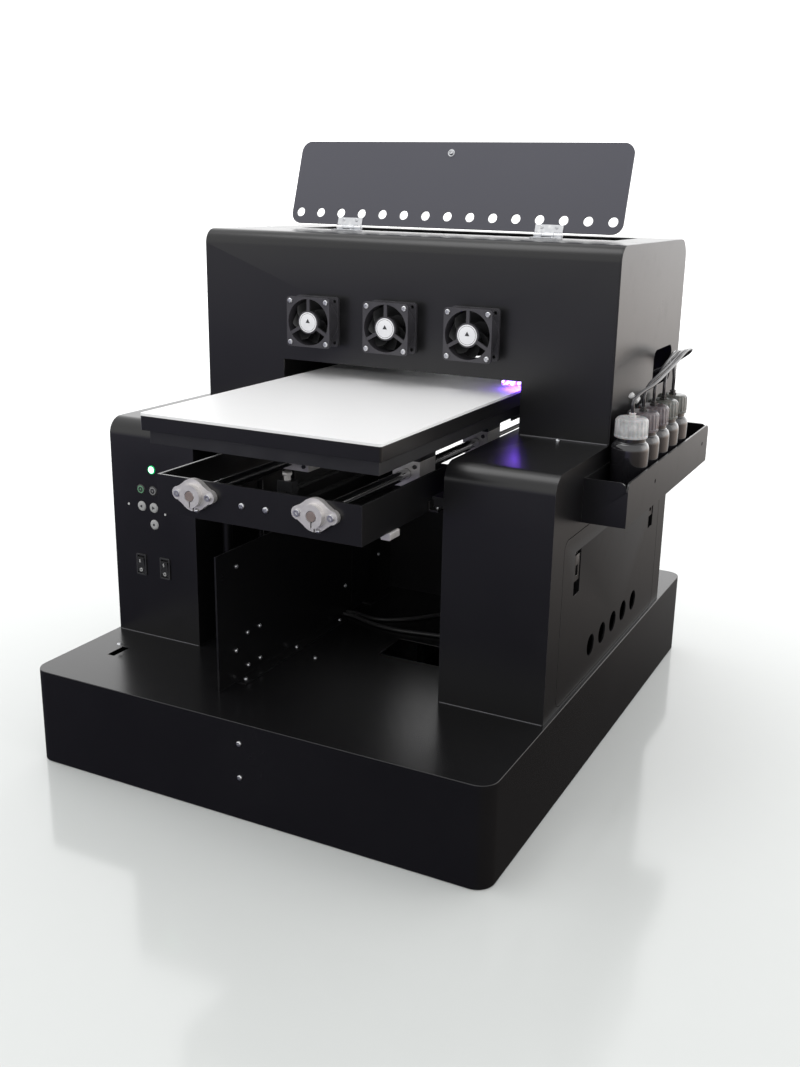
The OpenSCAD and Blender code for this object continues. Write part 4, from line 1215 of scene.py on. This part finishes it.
class PRINTER_OT_fans(bpy.types.Operator):
    """Builds the three cooling fans: frames, hub labels and swept rotors"""

    bl_idname = "printer.fans"
    bl_label = "Fans"

    def execute(self, context):
        refined("fan_frames", "fan_plastic", 0.35)
        for i, (low, high) in enumerate(islands("fan_frames")):
            centre = (low + high) / 2
            centre.y = low.y
            self.label(i, centre)
            self.shade_disc(i, centre, high.y)
        for name in ("left", "middle", "right"):
            self.rotor("fan_rotor_" + name)
        return {"FINISHED"}

    def shade_disc(self, i, centre, back):
        """A near-black disc inside the housing, behind the rotor: painted shade for the dark inside
        of the fan.
        """
        mesh = bmesh.new()
        behind = Vector((centre.x, back + 2.3 * MM, centre.z))
        face, edge = 0.0255, 0.0265
        rim = [(0, 0), (face, 0), (edge, 0.0004), (edge, 0.0011), (face, 0.0015), (0, 0.0015)]
        turned(mesh, rim, behind, Y, 40)
        piece(f"fan_shade_disc_{i + 1}", mesh, "fan_frames", "fan_shade_disc", replaces=False)

    def label(self, i, centre):
        mesh = bmesh.new()
        rim = [(0, 0), (0.0122, 0), (0.0122, 0.0004), (0.0118, 0.0005), (0, 0.0005)]
        turned(mesh, rim, centre + Y * 0.15 * MM, -Y, 48)
        piece(f"fan_label_{i + 1}", mesh, "fan_frames", "hub_label", replaces=False)
        ring = bmesh.new()
        band = [(0.0104, 0), (0.0106, 0.0001), (0.0108, 0), (0.0104, 0)]
        turned_ring(ring, band, centre - Y * 0.35 * MM, -Y)
        corner = [(0.0034 * math.cos(a), 0.0034 * math.sin(a) + 0.001)
                  for a in (math.radians(90 + 120 * k) for k in range(3))]  # fmt: skip
        prism(ring, corner, centre - Y * 0.45 * MM, Y, 0.2 * MM, across=X)
        piece(f"fan_label_print_{i + 1}", ring, "fan_frames", "blade_plastic", replaces=False)

    def rotor(self, node):
        low, high = box(node)
        centre, reach = (low + high) / 2, (high.z - low.z) / 2
        front, depth = low.y, high.y - low.y
        mesh = bmesh.new()
        hub = 0.013
        cup = [(0.0022, 0), (hub - 0.001, 0), (hub, 0.001), (hub, depth), (0.0022, depth)]
        turned_ring(mesh, cup + cup[:1], Vector((centre.x, front, centre.z)), Y, 40)
        blades = sizes().fan_blades
        for k in range(blades):
            turn = 2 * math.pi * k / blades
            self.blade(mesh, centre, front, depth, hub - 0.0004, reach, turn)
        piece(node + "_swept", mesh, node, "blade_plastic")

    @staticmethod
    def blade(mesh, centre, front, depth, root, tip, turn):
        """One blade: a thin swept sheet whose pitch falls off towards its tip."""
        across, along, thick = 8, 6, 0.45 * MM
        sides = []
        for offset in (-thick, thick):
            grid = []
            for i in range(along + 1):
                r = root + (tip - root) * i / along
                lead = turn + 0.55 * (i / along) ** 1.4
                row = []
                for k in range(across + 1):
                    s = k / across
                    a = lead + (s - 0.5) * (1.02 - 0.12 * i / along)
                    camber = 0.0012 * math.sin(math.pi * s)
                    skin_at = offset * (1 - abs(2 * s - 1)) ** 0.5
                    y = front + depth * (0.1 + 0.8 * s) + camber + skin_at
                    row.append(mesh.verts.new(
                        (centre.x + r * math.sin(a), y, centre.z + r * math.cos(a))
                    ))  # fmt: skip
                grid.append(row)
            sides.append(grid)
        for grid in sides:
            for i in range(along):
                for k in range(across):
                    low, high = grid[i], grid[i + 1]
                    mesh.faces.new([low[k], low[k + 1], high[k + 1], high[k]])
        lower, upper = (
            [*g[0], *[r[-1] for r in g[1:]], *g[-1][-2::-1], *[r[0] for r in g[-2:0:-1]]]
            for g in sides
        )
        skin(mesh, [lower, upper])


# ---------- controls ----------


class PRINTER_OT_controls(bpy.types.Operator):
    """Builds the power light, the round keys and the two rocker switches"""

    bl_idname = "printer.controls"
    bl_label = "Controls"

    # Which way each key's arrow points, in degrees from up; the home key has a dot
    ARROWS = {"up": 0, "down": 180, "back": 90, "forward": -90, "home": None}

    ROCKER_TILT = math.radians(8)

    # The finish of the ring round each upper key
    RINGED = {"button_up": "mark_green", "button_down": "mark_grey"}

    def execute(self, context):
        self.lights()
        for name, arrow in self.ARROWS.items():
            self.key("button_" + name, arrow)
        refined("rocker_bezels", "switch_plastic", 0.3)
        for node in ("rocker_left", "rocker_right"):
            self.rocker(node)
        return {"FINISHED"}

    def lights(self):
        """The lit lens in its ring, and three small printed dots that stay unlit."""
        lens, bezel, dots = bmesh.new(), bmesh.new(), bmesh.new()
        for low, high in islands("panel_leds"):
            radius = (high.x - low.x) / 2
            centre = ahead(low, high)
            dome = [(radius, high.y - low.y), (radius, 0.3 * radius)]
            dome += [(radius * math.cos(a), 0.3 * radius * (1 - math.sin(a)))
                     for a in (math.pi * k / 16 for k in range(1, 8))] + [(0, 0)]  # fmt: skip
            lit = radius > 3 * MM
            turned(lens if lit else dots, dome, centre, Y, 32)
            if lit:
                rim = [(radius, 2.2 * MM), (radius + 1.4 * MM, 2.2 * MM)]
                rim += [(radius + 1.1 * MM, 1.2 * MM), (radius, 1.0 * MM), (radius, 2.2 * MM)]
                turned_ring(bezel, rim, centre, Y)
        piece("power_light", lens, "panel_leds", "led_green")
        piece("panel_dots", dots, "panel_leds", "mark_white")
        piece("power_light_rim", bezel, "panel_leds", "led_rim", False)

    def key(self, node, arrow):
        """A domed key: the upper two are dark in a pale ring, the others pale with a dark mark."""
        low, high = box(node)
        centre = ahead(low, high)
        flange, stem = (high.x - low.x) / 2, (high.x - low.x) / 2 - 2 * MM
        deep, dome = high.y - low.y, sizes().key_dome
        flat = deep - 2 * MM
        ringed = node in self.RINGED
        profile = [(0, 0)] + [
            (stem * 0.86 * math.sin(a), dome * (1 - math.cos(a)))
            for a in (math.pi / 2 * k / 6 for k in range(1, 7))
        ] + [(stem, dome + 0.5 * MM), (stem, flat), (flange, flat), (flange, deep), (0, deep)]
        mesh = turned(bmesh.new(), profile, centre, Y, 48)
        piece(node + "_domed", mesh, node, "switch_plastic" if ringed else None)
        face = centre - Y * 0.1 * MM
        mark = bmesh.new()
        if ringed:
            band = in_mm((3.1, 0.5), (3.3, 0), (4.5, 0.1), (4.7, 0.6), (3.1, 0.5))
            turned_ring(mark, band, centre, Y)
        if arrow is None:
            turned(mark, in_mm((0, 0.3), (1.6, 0.3), (1.5, 0), (0, 0)), face, Y, 24)
        else:
            a = math.radians(arrow)
            size = (1.6 if ringed else 2.5) * MM
            tip = [(0, size), (-size * 0.85, -size * 0.6), (size * 0.85, -size * 0.6)]
            turned_tip = [(x * math.cos(a) - z * math.sin(a), x * math.sin(a) + z * math.cos(a))
                          for x, z in tip]  # fmt: skip
            prism(mark, turned_tip, face, Y, 0.4 * MM, across=X)
        finish = self.RINGED.get(node, "switch_plastic")
        piece(node + "_mark", mark, node, finish, False)

    def rocker(self, node):
        low, high = box(node)
        mesh = joined_faces(node)
        rounded(piece(node + "_finished", mesh, node, "switch_plastic"), 0.5 * MM, 3)
        centre = (low + high) / 2
        lean = Matrix.Rotation(self.ROCKER_TILT, 3, "X")
        mark = bmesh.new()
        out = lean @ -Y
        up = lean @ Z
        front = centre + out * 0.0047
        prism(mark, [(-0.0005, -0.002), (0.0005, -0.002), (0.0005, 0.002), (-0.0005, 0.002)],
              front + up * 0.006, -out, 0.0012, across=X)  # fmt: skip
        ring = [(0.0015, 0), (0.0022, 0), (0.0022, 0.0012), (0.0015, 0.0012), (0.0015, 0)]
        turned_ring(mark, ring, front - up * 0.006, -out, 24)
        piece(node + "_marks", mark, node, "mark_white", False)


# ---------- ink supply ----------


class PRINTER_OT_ink(bpy.types.Operator):
    """Builds the ink tray, the bottles, their ribbed caps and the tube fittings"""

    bl_idname = "printer.ink"
    bl_label = "Ink supply"

    CAP_FINISHES = ("clear_cap", "mauve_cap", "mauve_cap", "olive_cap", "olive_cap")

    def execute(self, context):
        refined("bottle_tray", "black_sheet", sizes().sheet_edge / MM)
        for i, (low, high) in enumerate(islands("ink_bottles")):
            self.bottle(i, low, high)
        for i, (low, high) in enumerate(islands("bottle_caps")):
            self.cap(i, low, high)
        self.valve()
        return {"FINISHED"}

    def bottle(self, i, low, high):
        centre = under(low, high)
        r, tall = (high.x - low.x) / 2, high.z - low.z
        neck, bend = r - 4.5 * MM, 5 * MM
        shoulder = tall - 5 * MM - bend
        profile = [(0, 1.2 * MM), (r * 0.7, 1.2 * MM), (r - 3.4 * MM, 0), (r - 1.2 * MM, 0.6 * MM),
                   (r - 0.2 * MM, 2.6 * MM), (r, 5 * MM)]  # fmt: skip
        profile += [(r - 0.35 * MM, shoulder * 0.5), (r, shoulder - 4 * MM)]
        for k in range(1, 9):
            a = math.pi / 2 * k / 8
            height = shoulder - 4 * MM + (bend + 4 * MM) * math.sin(a)
            profile.append((neck + (r - neck) * math.cos(a), height))
        profile += [(neck, tall - 6 * MM), (neck + 1 * MM, tall - 5 * MM), (neck, tall - 4 * MM),
                    (neck, tall), (0, tall)]  # fmt: skip
        mesh = turned(bmesh.new(), profile, centre, Z, 64)
        piece(f"ink_bottle_{i + 1}", mesh, "ink_bottles")

    def cap(self, i, low, high):
        centre = under(low, high)
        r, tall = (high.x - low.x) / 2, high.z - low.z - 5 * MM
        ribs = sizes().cap_ribs
        steps = ribs * 6
        rows = [
            (r - 0.6 * MM, 0, 0), (r - 0.1 * MM, 0.5 * MM, 0), (r - 0.1 * MM, 2.4 * MM, 0),
            (r - 0.6 * MM, 2.8 * MM, 0), (r - 0.5 * MM, 3.4 * MM, 0.45 * MM),
            (r - 0.6 * MM, tall - 3.2 * MM, 0.45 * MM), (r - 1.1 * MM, tall - 2 * MM, 0.2 * MM),
            (r - 2 * MM, tall - 0.7 * MM, 0), (r - 3.6 * MM, tall, 0), (6 * MM, tall - 0.4 * MM, 0),
        ]  # fmt: skip
        mesh = bmesh.new()
        rings = [
            [mesh.verts.new(centre + Vector((x, y, height)))
             for x, y in ring_points(radius, steps, 0, ribs, lobe)]
            for radius, height, lobe in rows
        ]  # fmt: skip
        skin(mesh, rings)
        mesh.faces.new(rings[0][::-1])
        mesh.faces.new(rings[-1])
        piece(f"bottle_cap_{i + 1}", mesh, "bottle_caps", self.CAP_FINISHES[i % 5])
        top = centre + Z * tall
        nipple = in_mm(
            (0, -0.6), (4.6, -0.6), (4.6, 1.6), (3.4, 1.8), (3.4, 3.6), (4.0, 3.9), (4.0, 4.7),
            (3.6, 5), (0, 5),
        )  # fmt: skip
        fitting = turned(bmesh.new(), nipple, top, Z, 6 if i else 24)
        finish = "latch_metal" if i else "clear_cap"
        piece(f"tube_fitting_{i + 1}", fitting, "bottle_caps", finish, replaces=False)

    def valve(self):
        """The small white tap on the first tube, just above its cap."""
        low, high = islands("bottle_caps")[0]
        x, y = (low.x + high.x) / 2 + 1 * MM, (low.y + high.y) / 2 + 7 * MM
        centre = Vector((x, y, high.z + 14 * MM))
        lean = Vector((0.15, 0.85, 0.5)).normalized()
        mesh = bmesh.new()
        barrel = in_mm((0, 0), (3.2, 0), (3.6, 0.6), (3.6, 6.4), (3.2, 7), (0, 7))
        turned(mesh, barrel, centre - lean * 3.5 * MM, lean, 32)
        stem = Vector((-0.7, -0.4, 0.6)).normalized()
        handle = in_mm((0, 0), (1.8, 0), (1.8, 5), (3.4, 5.6), (3.6, 8), (3, 8.8), (0, 9))
        turned(mesh, handle, centre, stem, 24)
        piece("tube_valve", mesh, "bottle_caps", "mark_white", False)


# ---------- bed and its guides ----------


class PRINTER_OT_bed(bpy.types.Operator):
    """Finishes the white bed plate, its skirt and the carrier below it"""

    bl_idname = "printer.bed"
    bl_label = "Bed"

    def execute(self, context):
        refined("bed_top", "bed_white", 0.35, segments=3)
        refined("bed_skirt", "black_sheet", 0.8, segments=3)
        refined("bed_carrier", "black_aluminium", 0.4)
        refined("bearing_blocks", "cast_aluminium", 0.6)
        heads = []
        for low, high in islands("bearing_blocks"):
            middle = (low + high) / 2
            for dx in (-0.32, 0.32):
                for dz in (-0.3, 0.3):
                    spot = Vector((middle.x + dx * (high.x - low.x), low.y,
                                   middle.z + dz * (high.z - low.z)))  # fmt: skip
                    heads.append((spot, -Y))
        screws("bearing_screws", heads, "bearing_blocks", "hex", 2.4, 1.8, "latch_metal")
        return {"FINISHED"}


class PRINTER_OT_bed_guides(bpy.types.Operator):
    """Finishes the bed's frame, shafts, shaft clamps, belt and motor"""

    bl_idname = "printer.bed_guides"
    bl_label = "Bed guides"

    def execute(self, context):
        refined("y_frame", "black_sheet", 0.6, segments=3)
        refined("shaft_supports", "cast_aluminium", 0.7, segments=3)
        self.clamp_screws()
        self.shafts()
        self.frame_details()
        belt_with_teeth("y_belt", 1)
        pulley("y_pulley", 0, 1.1 * MM)
        refined("y_motor", "motor_case", 0.5)
        return {"FINISHED"}

    def clamp_screws(self):
        ears, pinch = [], []
        middle = (box("shaft_supports")[0].y + box("shaft_supports")[1].y) / 2
        for low, high in islands("shaft_supports"):
            front = high.y < middle
            out = -Y if front else Y
            face = high.y - 6 * MM if front else low.y + 6 * MM
            centre = (low + high) / 2
            for dx in (-19 * MM, 19 * MM):
                ears.append((Vector((centre.x + dx, face, centre.z)), out))
            pinch.append((Vector((centre.x + 3.4 * MM, centre.y, low.z + 1.6 * MM)), X))
        screws("clamp_screws", ears, "shaft_supports", "hex", 3.6, 2.6)
        screws("pinch_screws", pinch, "shaft_supports", "hex", 2.2, 3.4)

    def shafts(self):
        mesh = bmesh.new()
        for low, high in islands("y_rods"):
            r, long = (high.x - low.x) / 2, high.y - low.y
            centre = ahead(low, high)
            turned(mesh, [
                (0, 2.2 * MM), (1.6 * MM, 0.6 * MM), (1.7 * MM, 0.3 * MM), (r - 0.8 * MM, 0.3 * MM),
                (r, 1.1 * MM), (r, long - 1.1 * MM), (r - 0.8 * MM, long - 0.3 * MM),
                (1.7 * MM, long - 0.3 * MM), (0, long - 2.2 * MM),
            ], centre, Y, 40)  # fmt: skip
        piece("bed_shafts", mesh, "y_rods")
        ends = bmesh.new()
        for low, high in islands("y_rods"):
            r = (high.x - low.x) / 2 - 0.9 * MM
            middle = ahead(low, high)
            for y, out in ((low.y, -Y), (high.y, Y)):
                middle.y = y
                turned(ends, [(0, -2 * MM), (r, -2 * MM), (r, 0.1 * MM), (r - 0.3 * MM, 0.3 * MM),
                              (0, 0.3 * MM)], middle, out, 40)  # fmt: skip
        piece("shaft_end_faces", ends, "y_rods", "shaft_end", replaces=False)

    def frame_details(self):
        """Screws, the light bracket and the angle plate on the bed's frame."""
        low, high = box("y_frame")
        middle = (low.x + high.x) / 2
        heads = [(Vector((middle + dx, low.y, high.z - 0.02)), -Y) for dx in (-0.0164, 0.0124)]
        screws("frame_front_screws", heads, "y_frame", radius=3.4, height=1.8)
        bar = bmesh.new()
        start = Vector((high.x - 0.0085, low.y + 0.053, low.z - 0.008))
        middle_of_bar = start + Vector((0.0055, 0, 0.004))
        prism(bar, round_tray(0.011, 0.008, 0.0015), middle_of_bar, Y, 0.021, across=X)
        self.bracket("frame_light_bracket", bar, "cast_aluminium", width=0.4)
        plate = bmesh.new()
        angle = [(0, 0), (0.012, 0), (0.012, 0.002), (0.002, 0.002), (0.002, 0.011), (0, 0.011)]
        at = Vector((high.x, low.y + 0.143, low.z + 0.001))
        prism(plate, angle, at, Y, 0.02, across=X)
        self.bracket("frame_angle", plate, "latch_metal")
        seat = at + Vector((0.007, 0.01, 0.002))
        screws("frame_angle_screw", [(seat, Z)], "y_frame", radius=2.8, height=1.6)
        spot = Vector((middle + 0.0005, low.y + 0.058, low.z + 0.043))
        post, nut = bmesh.new(), bmesh.new()
        foot, top = Vector((0.009, 0.006, 0.03)), Vector((0.009, 0.006, -0.005))
        block(post, spot - foot, spot + top)
        turned(nut, [(0, -0.006), (0.004, -0.006), (0.004, 0), (0.0055, 0.0006), (0.0055, 0.003),
                     (0.0045, 0.004), (0, 0.004)], spot, Z, 6)  # fmt: skip
        self.bracket("frame_stop", post, "black_aluminium", "black_aluminium")
        self.bracket("frame_stop_bolt", nut, "cast_aluminium")

    @staticmethod
    def bracket(name, mesh, finish, slot="zinc_steel", width=0.3):
        """A small part bolted to the bed's frame. width is its edges' rounding, in mm."""
        rounded(piece(name, mesh, "y_frame", finish, False), width * MM)


class PRINTER_OT_lift(bpy.types.Operator):
    """Finishes the lift's guide rods, threaded screws, mounts, motors and arms"""

    bl_idname = "printer.lift"
    bl_label = "Lift"

    def execute(self, context):
        mesh = bmesh.new()
        for low, high in islands("lift_rods"):
            r, tall = (high.x - low.x) / 2, high.z - low.z
            centre = under(low, high)
            turned(mesh, [(0, 0), (r - 0.8 * MM, 0), (r, 0.8 * MM), (r, tall - 0.8 * MM),
                          (r - 0.8 * MM, tall), (0, tall)], centre, Z, 32)  # fmt: skip
        piece("lift_rods_ground", mesh, "lift_rods", "black_oxide")
        for node in ("lift_screw_left", "lift_screw_right"):
            low, high = box(node)
            start = under(low, high)
            rod = bmesh.new()
            threaded(rod, start, (high.x - low.x) / 2, high.z - low.z, sizes().screw_pitch, 0.0007)
            piece(node + "_threaded", rod, node, "black_oxide")
        refined("lift_mounts", "black_aluminium", 0.5)
        refined("stepper_motors", "motor_case", 0.5)
        refined("lift_arms", "black_aluminium", 0.6)
        self.nuts()
        return {"FINISHED"}

    def nuts(self):
        mesh = bmesh.new()
        top = box("lift_arms")[1].z - 8 * MM
        for node in ("lift_screw_left", "lift_screw_right"):
            low, high = box(node)
            centre = Vector(((low.x + high.x) / 2, (low.y + high.y) / 2, top))
            ring = in_mm((4.4, 0), (9.5, 0), (9.5, 2.6), (6.4, 3), (6.4, 7), (4.4, 7.4), (4.4, 0))
            turned_ring(mesh, ring, centre, Z, 32)
        piece("lift_nuts", mesh, "lift_arms", "brass", False)


# ---------- print carriage ----------


class PRINTER_OT_carriage(bpy.types.Operator):
    """Finishes the rail, the carriage with its head and curing lamp, and the capping station"""

    bl_idname = "printer.carriage"
    bl_label = "Carriage"

    def execute(self, context):
        refined("x_rail", "black_aluminium", 0.5)
        refined("x_carriage", "black_aluminium", 0.8, segments=3)
        refined("print_head", "head_case", 0.8, segments=3)
        refined("uv_lamp", "black_aluminium", 0.6)
        refined("capping_station", "switch_plastic", 0.6)
        belt_with_teeth("x_belt", 0)
        pulley("x_pulley", 1, 0.2 * MM)
        self.lamp_window()
        self.nozzle_plate()
        return {"FINISHED"}

    def lamp_window(self):
        low, high = box("uv_lamp")
        mesh = bmesh.new()
        outline = round_tray(high.x - low.x - 8 * MM, high.y - low.y - 10 * MM, 2 * MM)
        centre = Vector(((low.x + high.x) / 2, (low.y + high.y) / 2, low.z - 0.6 * MM))
        prism(mesh, outline, centre, Z, 1 * MM, across=X)
        strip = round_tray(high.x - low.x - 4 * MM, 5.6 * MM, 1.5 * MM)
        front = Vector((centre.x, low.y + 2 * MM, low.z))
        prism(mesh, strip, front, -Y, 2.8 * MM, across=X)
        piece("lamp_window", mesh, "uv_lamp", "lamp_glass", False)
        aim = centre - Z
        glow = soft_light("lamp_glow", 0.03, 0.03, centre - Z * 1.5 * MM, aim, tuple(finishes().uv))
        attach(glow, BODY_OF["uv_lamp"])

    def nozzle_plate(self):
        low, high = box("print_head")
        mesh = bmesh.new()
        centre = under(low, high)
        plate = round_tray(30 * MM, 30 * MM, 1.5 * MM)
        prism(mesh, plate, centre + Z * 0.2 * MM, -Z, 0.5 * MM, across=X)
        half, reach = 0.15 * MM, 12 * MM
        for i in range(8):
            x = centre.x + (i - 3.5) * 3.2 * MM
            block(mesh, (x - half, centre.y - reach, low.z - 0.4 * MM),
                  (x + half, centre.y + reach, low.z - 0.2 * MM))  # fmt: skip
        piece("nozzle_plate", mesh, "print_head", "zinc_steel", False)


# ---------- electronics, door and screws ----------


class PRINTER_OT_electronics(bpy.types.Operator):
    """Builds the circuit board's parts, the power supply and the rear sockets"""

    bl_idname = "printer.electronics"
    bl_label = "Electronics"

    def execute(self, context):
        low = box("mainboard")[0]
        board = low.x + 1.7 * MM
        refined("mainboard", "board_green", 0.2, keep=lambda c: c.x < board, name="circuit_board")
        refined("mainboard", "chip_resin", 0.4, keep=lambda c: c.x >= board, name="board_parts")
        self.capacitors(board, low)
        refined("power_supply", "supply_case", 0.6)
        refined("rear_sockets", "switch_plastic", 0.4)
        self.pins()
        return {"FINISHED"}

    def capacitors(self, board, low):
        mesh = bmesh.new()
        can = [(0, -0.0005), (0.0048, -0.0005), (0.005, 0.0006), (0.0046, 0.0012), (0.005, 0.002),
               (0.005, 0.0098), (0.0044, 0.0104), (0, 0.0102)]  # fmt: skip
        for i in range(4):
            for k in range(2):
                spot = Vector((board, low.y + (0.062 + 0.014 * k), low.z + 0.03 + 0.017 * i))
                turned(mesh, can, spot, X, 24)
        piece("board_capacitors", mesh, "mainboard", "zinc_steel", False)

    def pins(self):
        low, high = box("rear_sockets")
        mesh = bmesh.new()
        centre = Vector(((low.x + high.x) / 2, high.y, low.z + 0.014))
        for dx, dz in ((-0.006, 0.002), (0, -0.002), (0.006, 0.002)):
            spot = centre + Vector((dx, -0.014, dz))
            prism(mesh, round_tray(0.0022, 0.0044, 0.0004, 2), spot, Y, 0.009, across=-X)
        piece("inlet_pins", mesh, "rear_sockets", "brass", False)


class PRINTER_OT_door(bpy.types.Operator):
    """Finishes the side door and its two paddle latches"""

    bl_idname = "printer.door"
    bl_label = "Side door"

    def execute(self, context):
        refined("side_door", "black_sheet", sizes().sheet_edge / MM)
        for node in ("latch_front", "latch_rear"):
            refined(node, "latch_metal", 0.4, segments=3)
            self.tongue(node)
        return {"FINISHED"}

    def tongue(self, node):
        """The sprung tongue that shows through the paddle's slot."""
        low, high = box(node)
        centre = (low + high) / 2
        mesh = bmesh.new()
        at = Vector((high.x - 6.5 * MM, centre.y, high.z - 19 * MM))
        prism(mesh, round_tray(6 * MM, 8 * MM, 1.4 * MM), at, X, 3.2 * MM, across=Y)
        rounded(piece(node + "_tongue", mesh, node, "zinc_steel", False), 0.3 * MM)


class PRINTER_OT_screws(bpy.types.Operator):
    """Replaces the plain screw solids with recessed heads"""

    bl_idname = "printer.screws"
    bl_label = "Screws"

    def execute(self, context):
        groups = {}
        middle = (box("base_cover")[0] + box("base_cover")[1]) / 2
        for low, high in islands("chassis_screws"):
            span = high - low
            axis = min(range(3), key=lambda i: span[i])
            width = max(span) / 2
            centre = (low + high) / 2
            faces_out = self.direction(axis, centre, middle)
            seat = centre.copy()
            seat[axis] = low[axis] if faces_out[axis] > 0 else high[axis]
            key = (round(width / MM, 1), round(span[axis] / MM, 1))
            groups.setdefault(key, []).append((seat, faces_out))
        for i, ((radius, height), places) in enumerate(sorted(groups.items())):
            name = f"cabinet_screws_{i + 1}"
            screws(name, places, "chassis_screws", radius=radius, height=height, replaces=True)
        return {"FINISHED"}

    @staticmethod
    def direction(axis, centre, middle):
        """Which way a screw faces: up, to the nearer end, or away from the cabinet's side."""
        if axis == 2:
            return Z
        if axis == 1:
            return Y if centre.y > middle.y + 0.1 else -Y
        return -X if centre.x < box("housing_sides")[0].x + 1 * MM else X


# ---------- the add-on ----------

OPERATORS = (
    PRINTER_OT_stage, PRINTER_OT_cords, PRINTER_OT_cabinet, PRINTER_OT_lid, PRINTER_OT_fans,
    PRINTER_OT_controls, PRINTER_OT_ink, PRINTER_OT_bed, PRINTER_OT_bed_guides, PRINTER_OT_lift,
    PRINTER_OT_carriage, PRINTER_OT_electronics, PRINTER_OT_door, PRINTER_OT_screws,
)  # fmt: skip


class PRINTER_PT_panel(bpy.types.Panel):
    """Lists the printer's settings and the steps that build it"""

    bl_idname = "PRINTER_PT_panel"
    bl_label = "Flatbed UV Printer"
    bl_space_type = "VIEW_3D"
    bl_region_type = "UI"
    bl_category = "Printer"

    def draw(self, context):
        for group in (context.scene.printer_finish, context.scene.printer_sizes):
            for name in group.__annotations__:
                self.layout.prop(group, name)
        for operator in OPERATORS:
            self.layout.operator(operator.bl_idname)


CLASSES = (PrinterFinish, PrinterSizes, *OPERATORS, PRINTER_PT_panel)


def register():
    for one in CLASSES:
        bpy.utils.register_class(one)
    bpy.types.Scene.printer_finish = PointerProperty(type=PrinterFinish)
    bpy.types.Scene.printer_sizes = PointerProperty(type=PrinterSizes)


def unregister():
    del bpy.types.Scene.printer_finish, bpy.types.Scene.printer_sizes
    for one in reversed(CLASSES):
        bpy.utils.unregister_class(one)


def main():
    register()
    for operator in OPERATORS:
        group, name = operator.bl_idname.split(".")
        getattr(getattr(bpy.ops, group), name)()


if __name__ == "__main__":
    main()
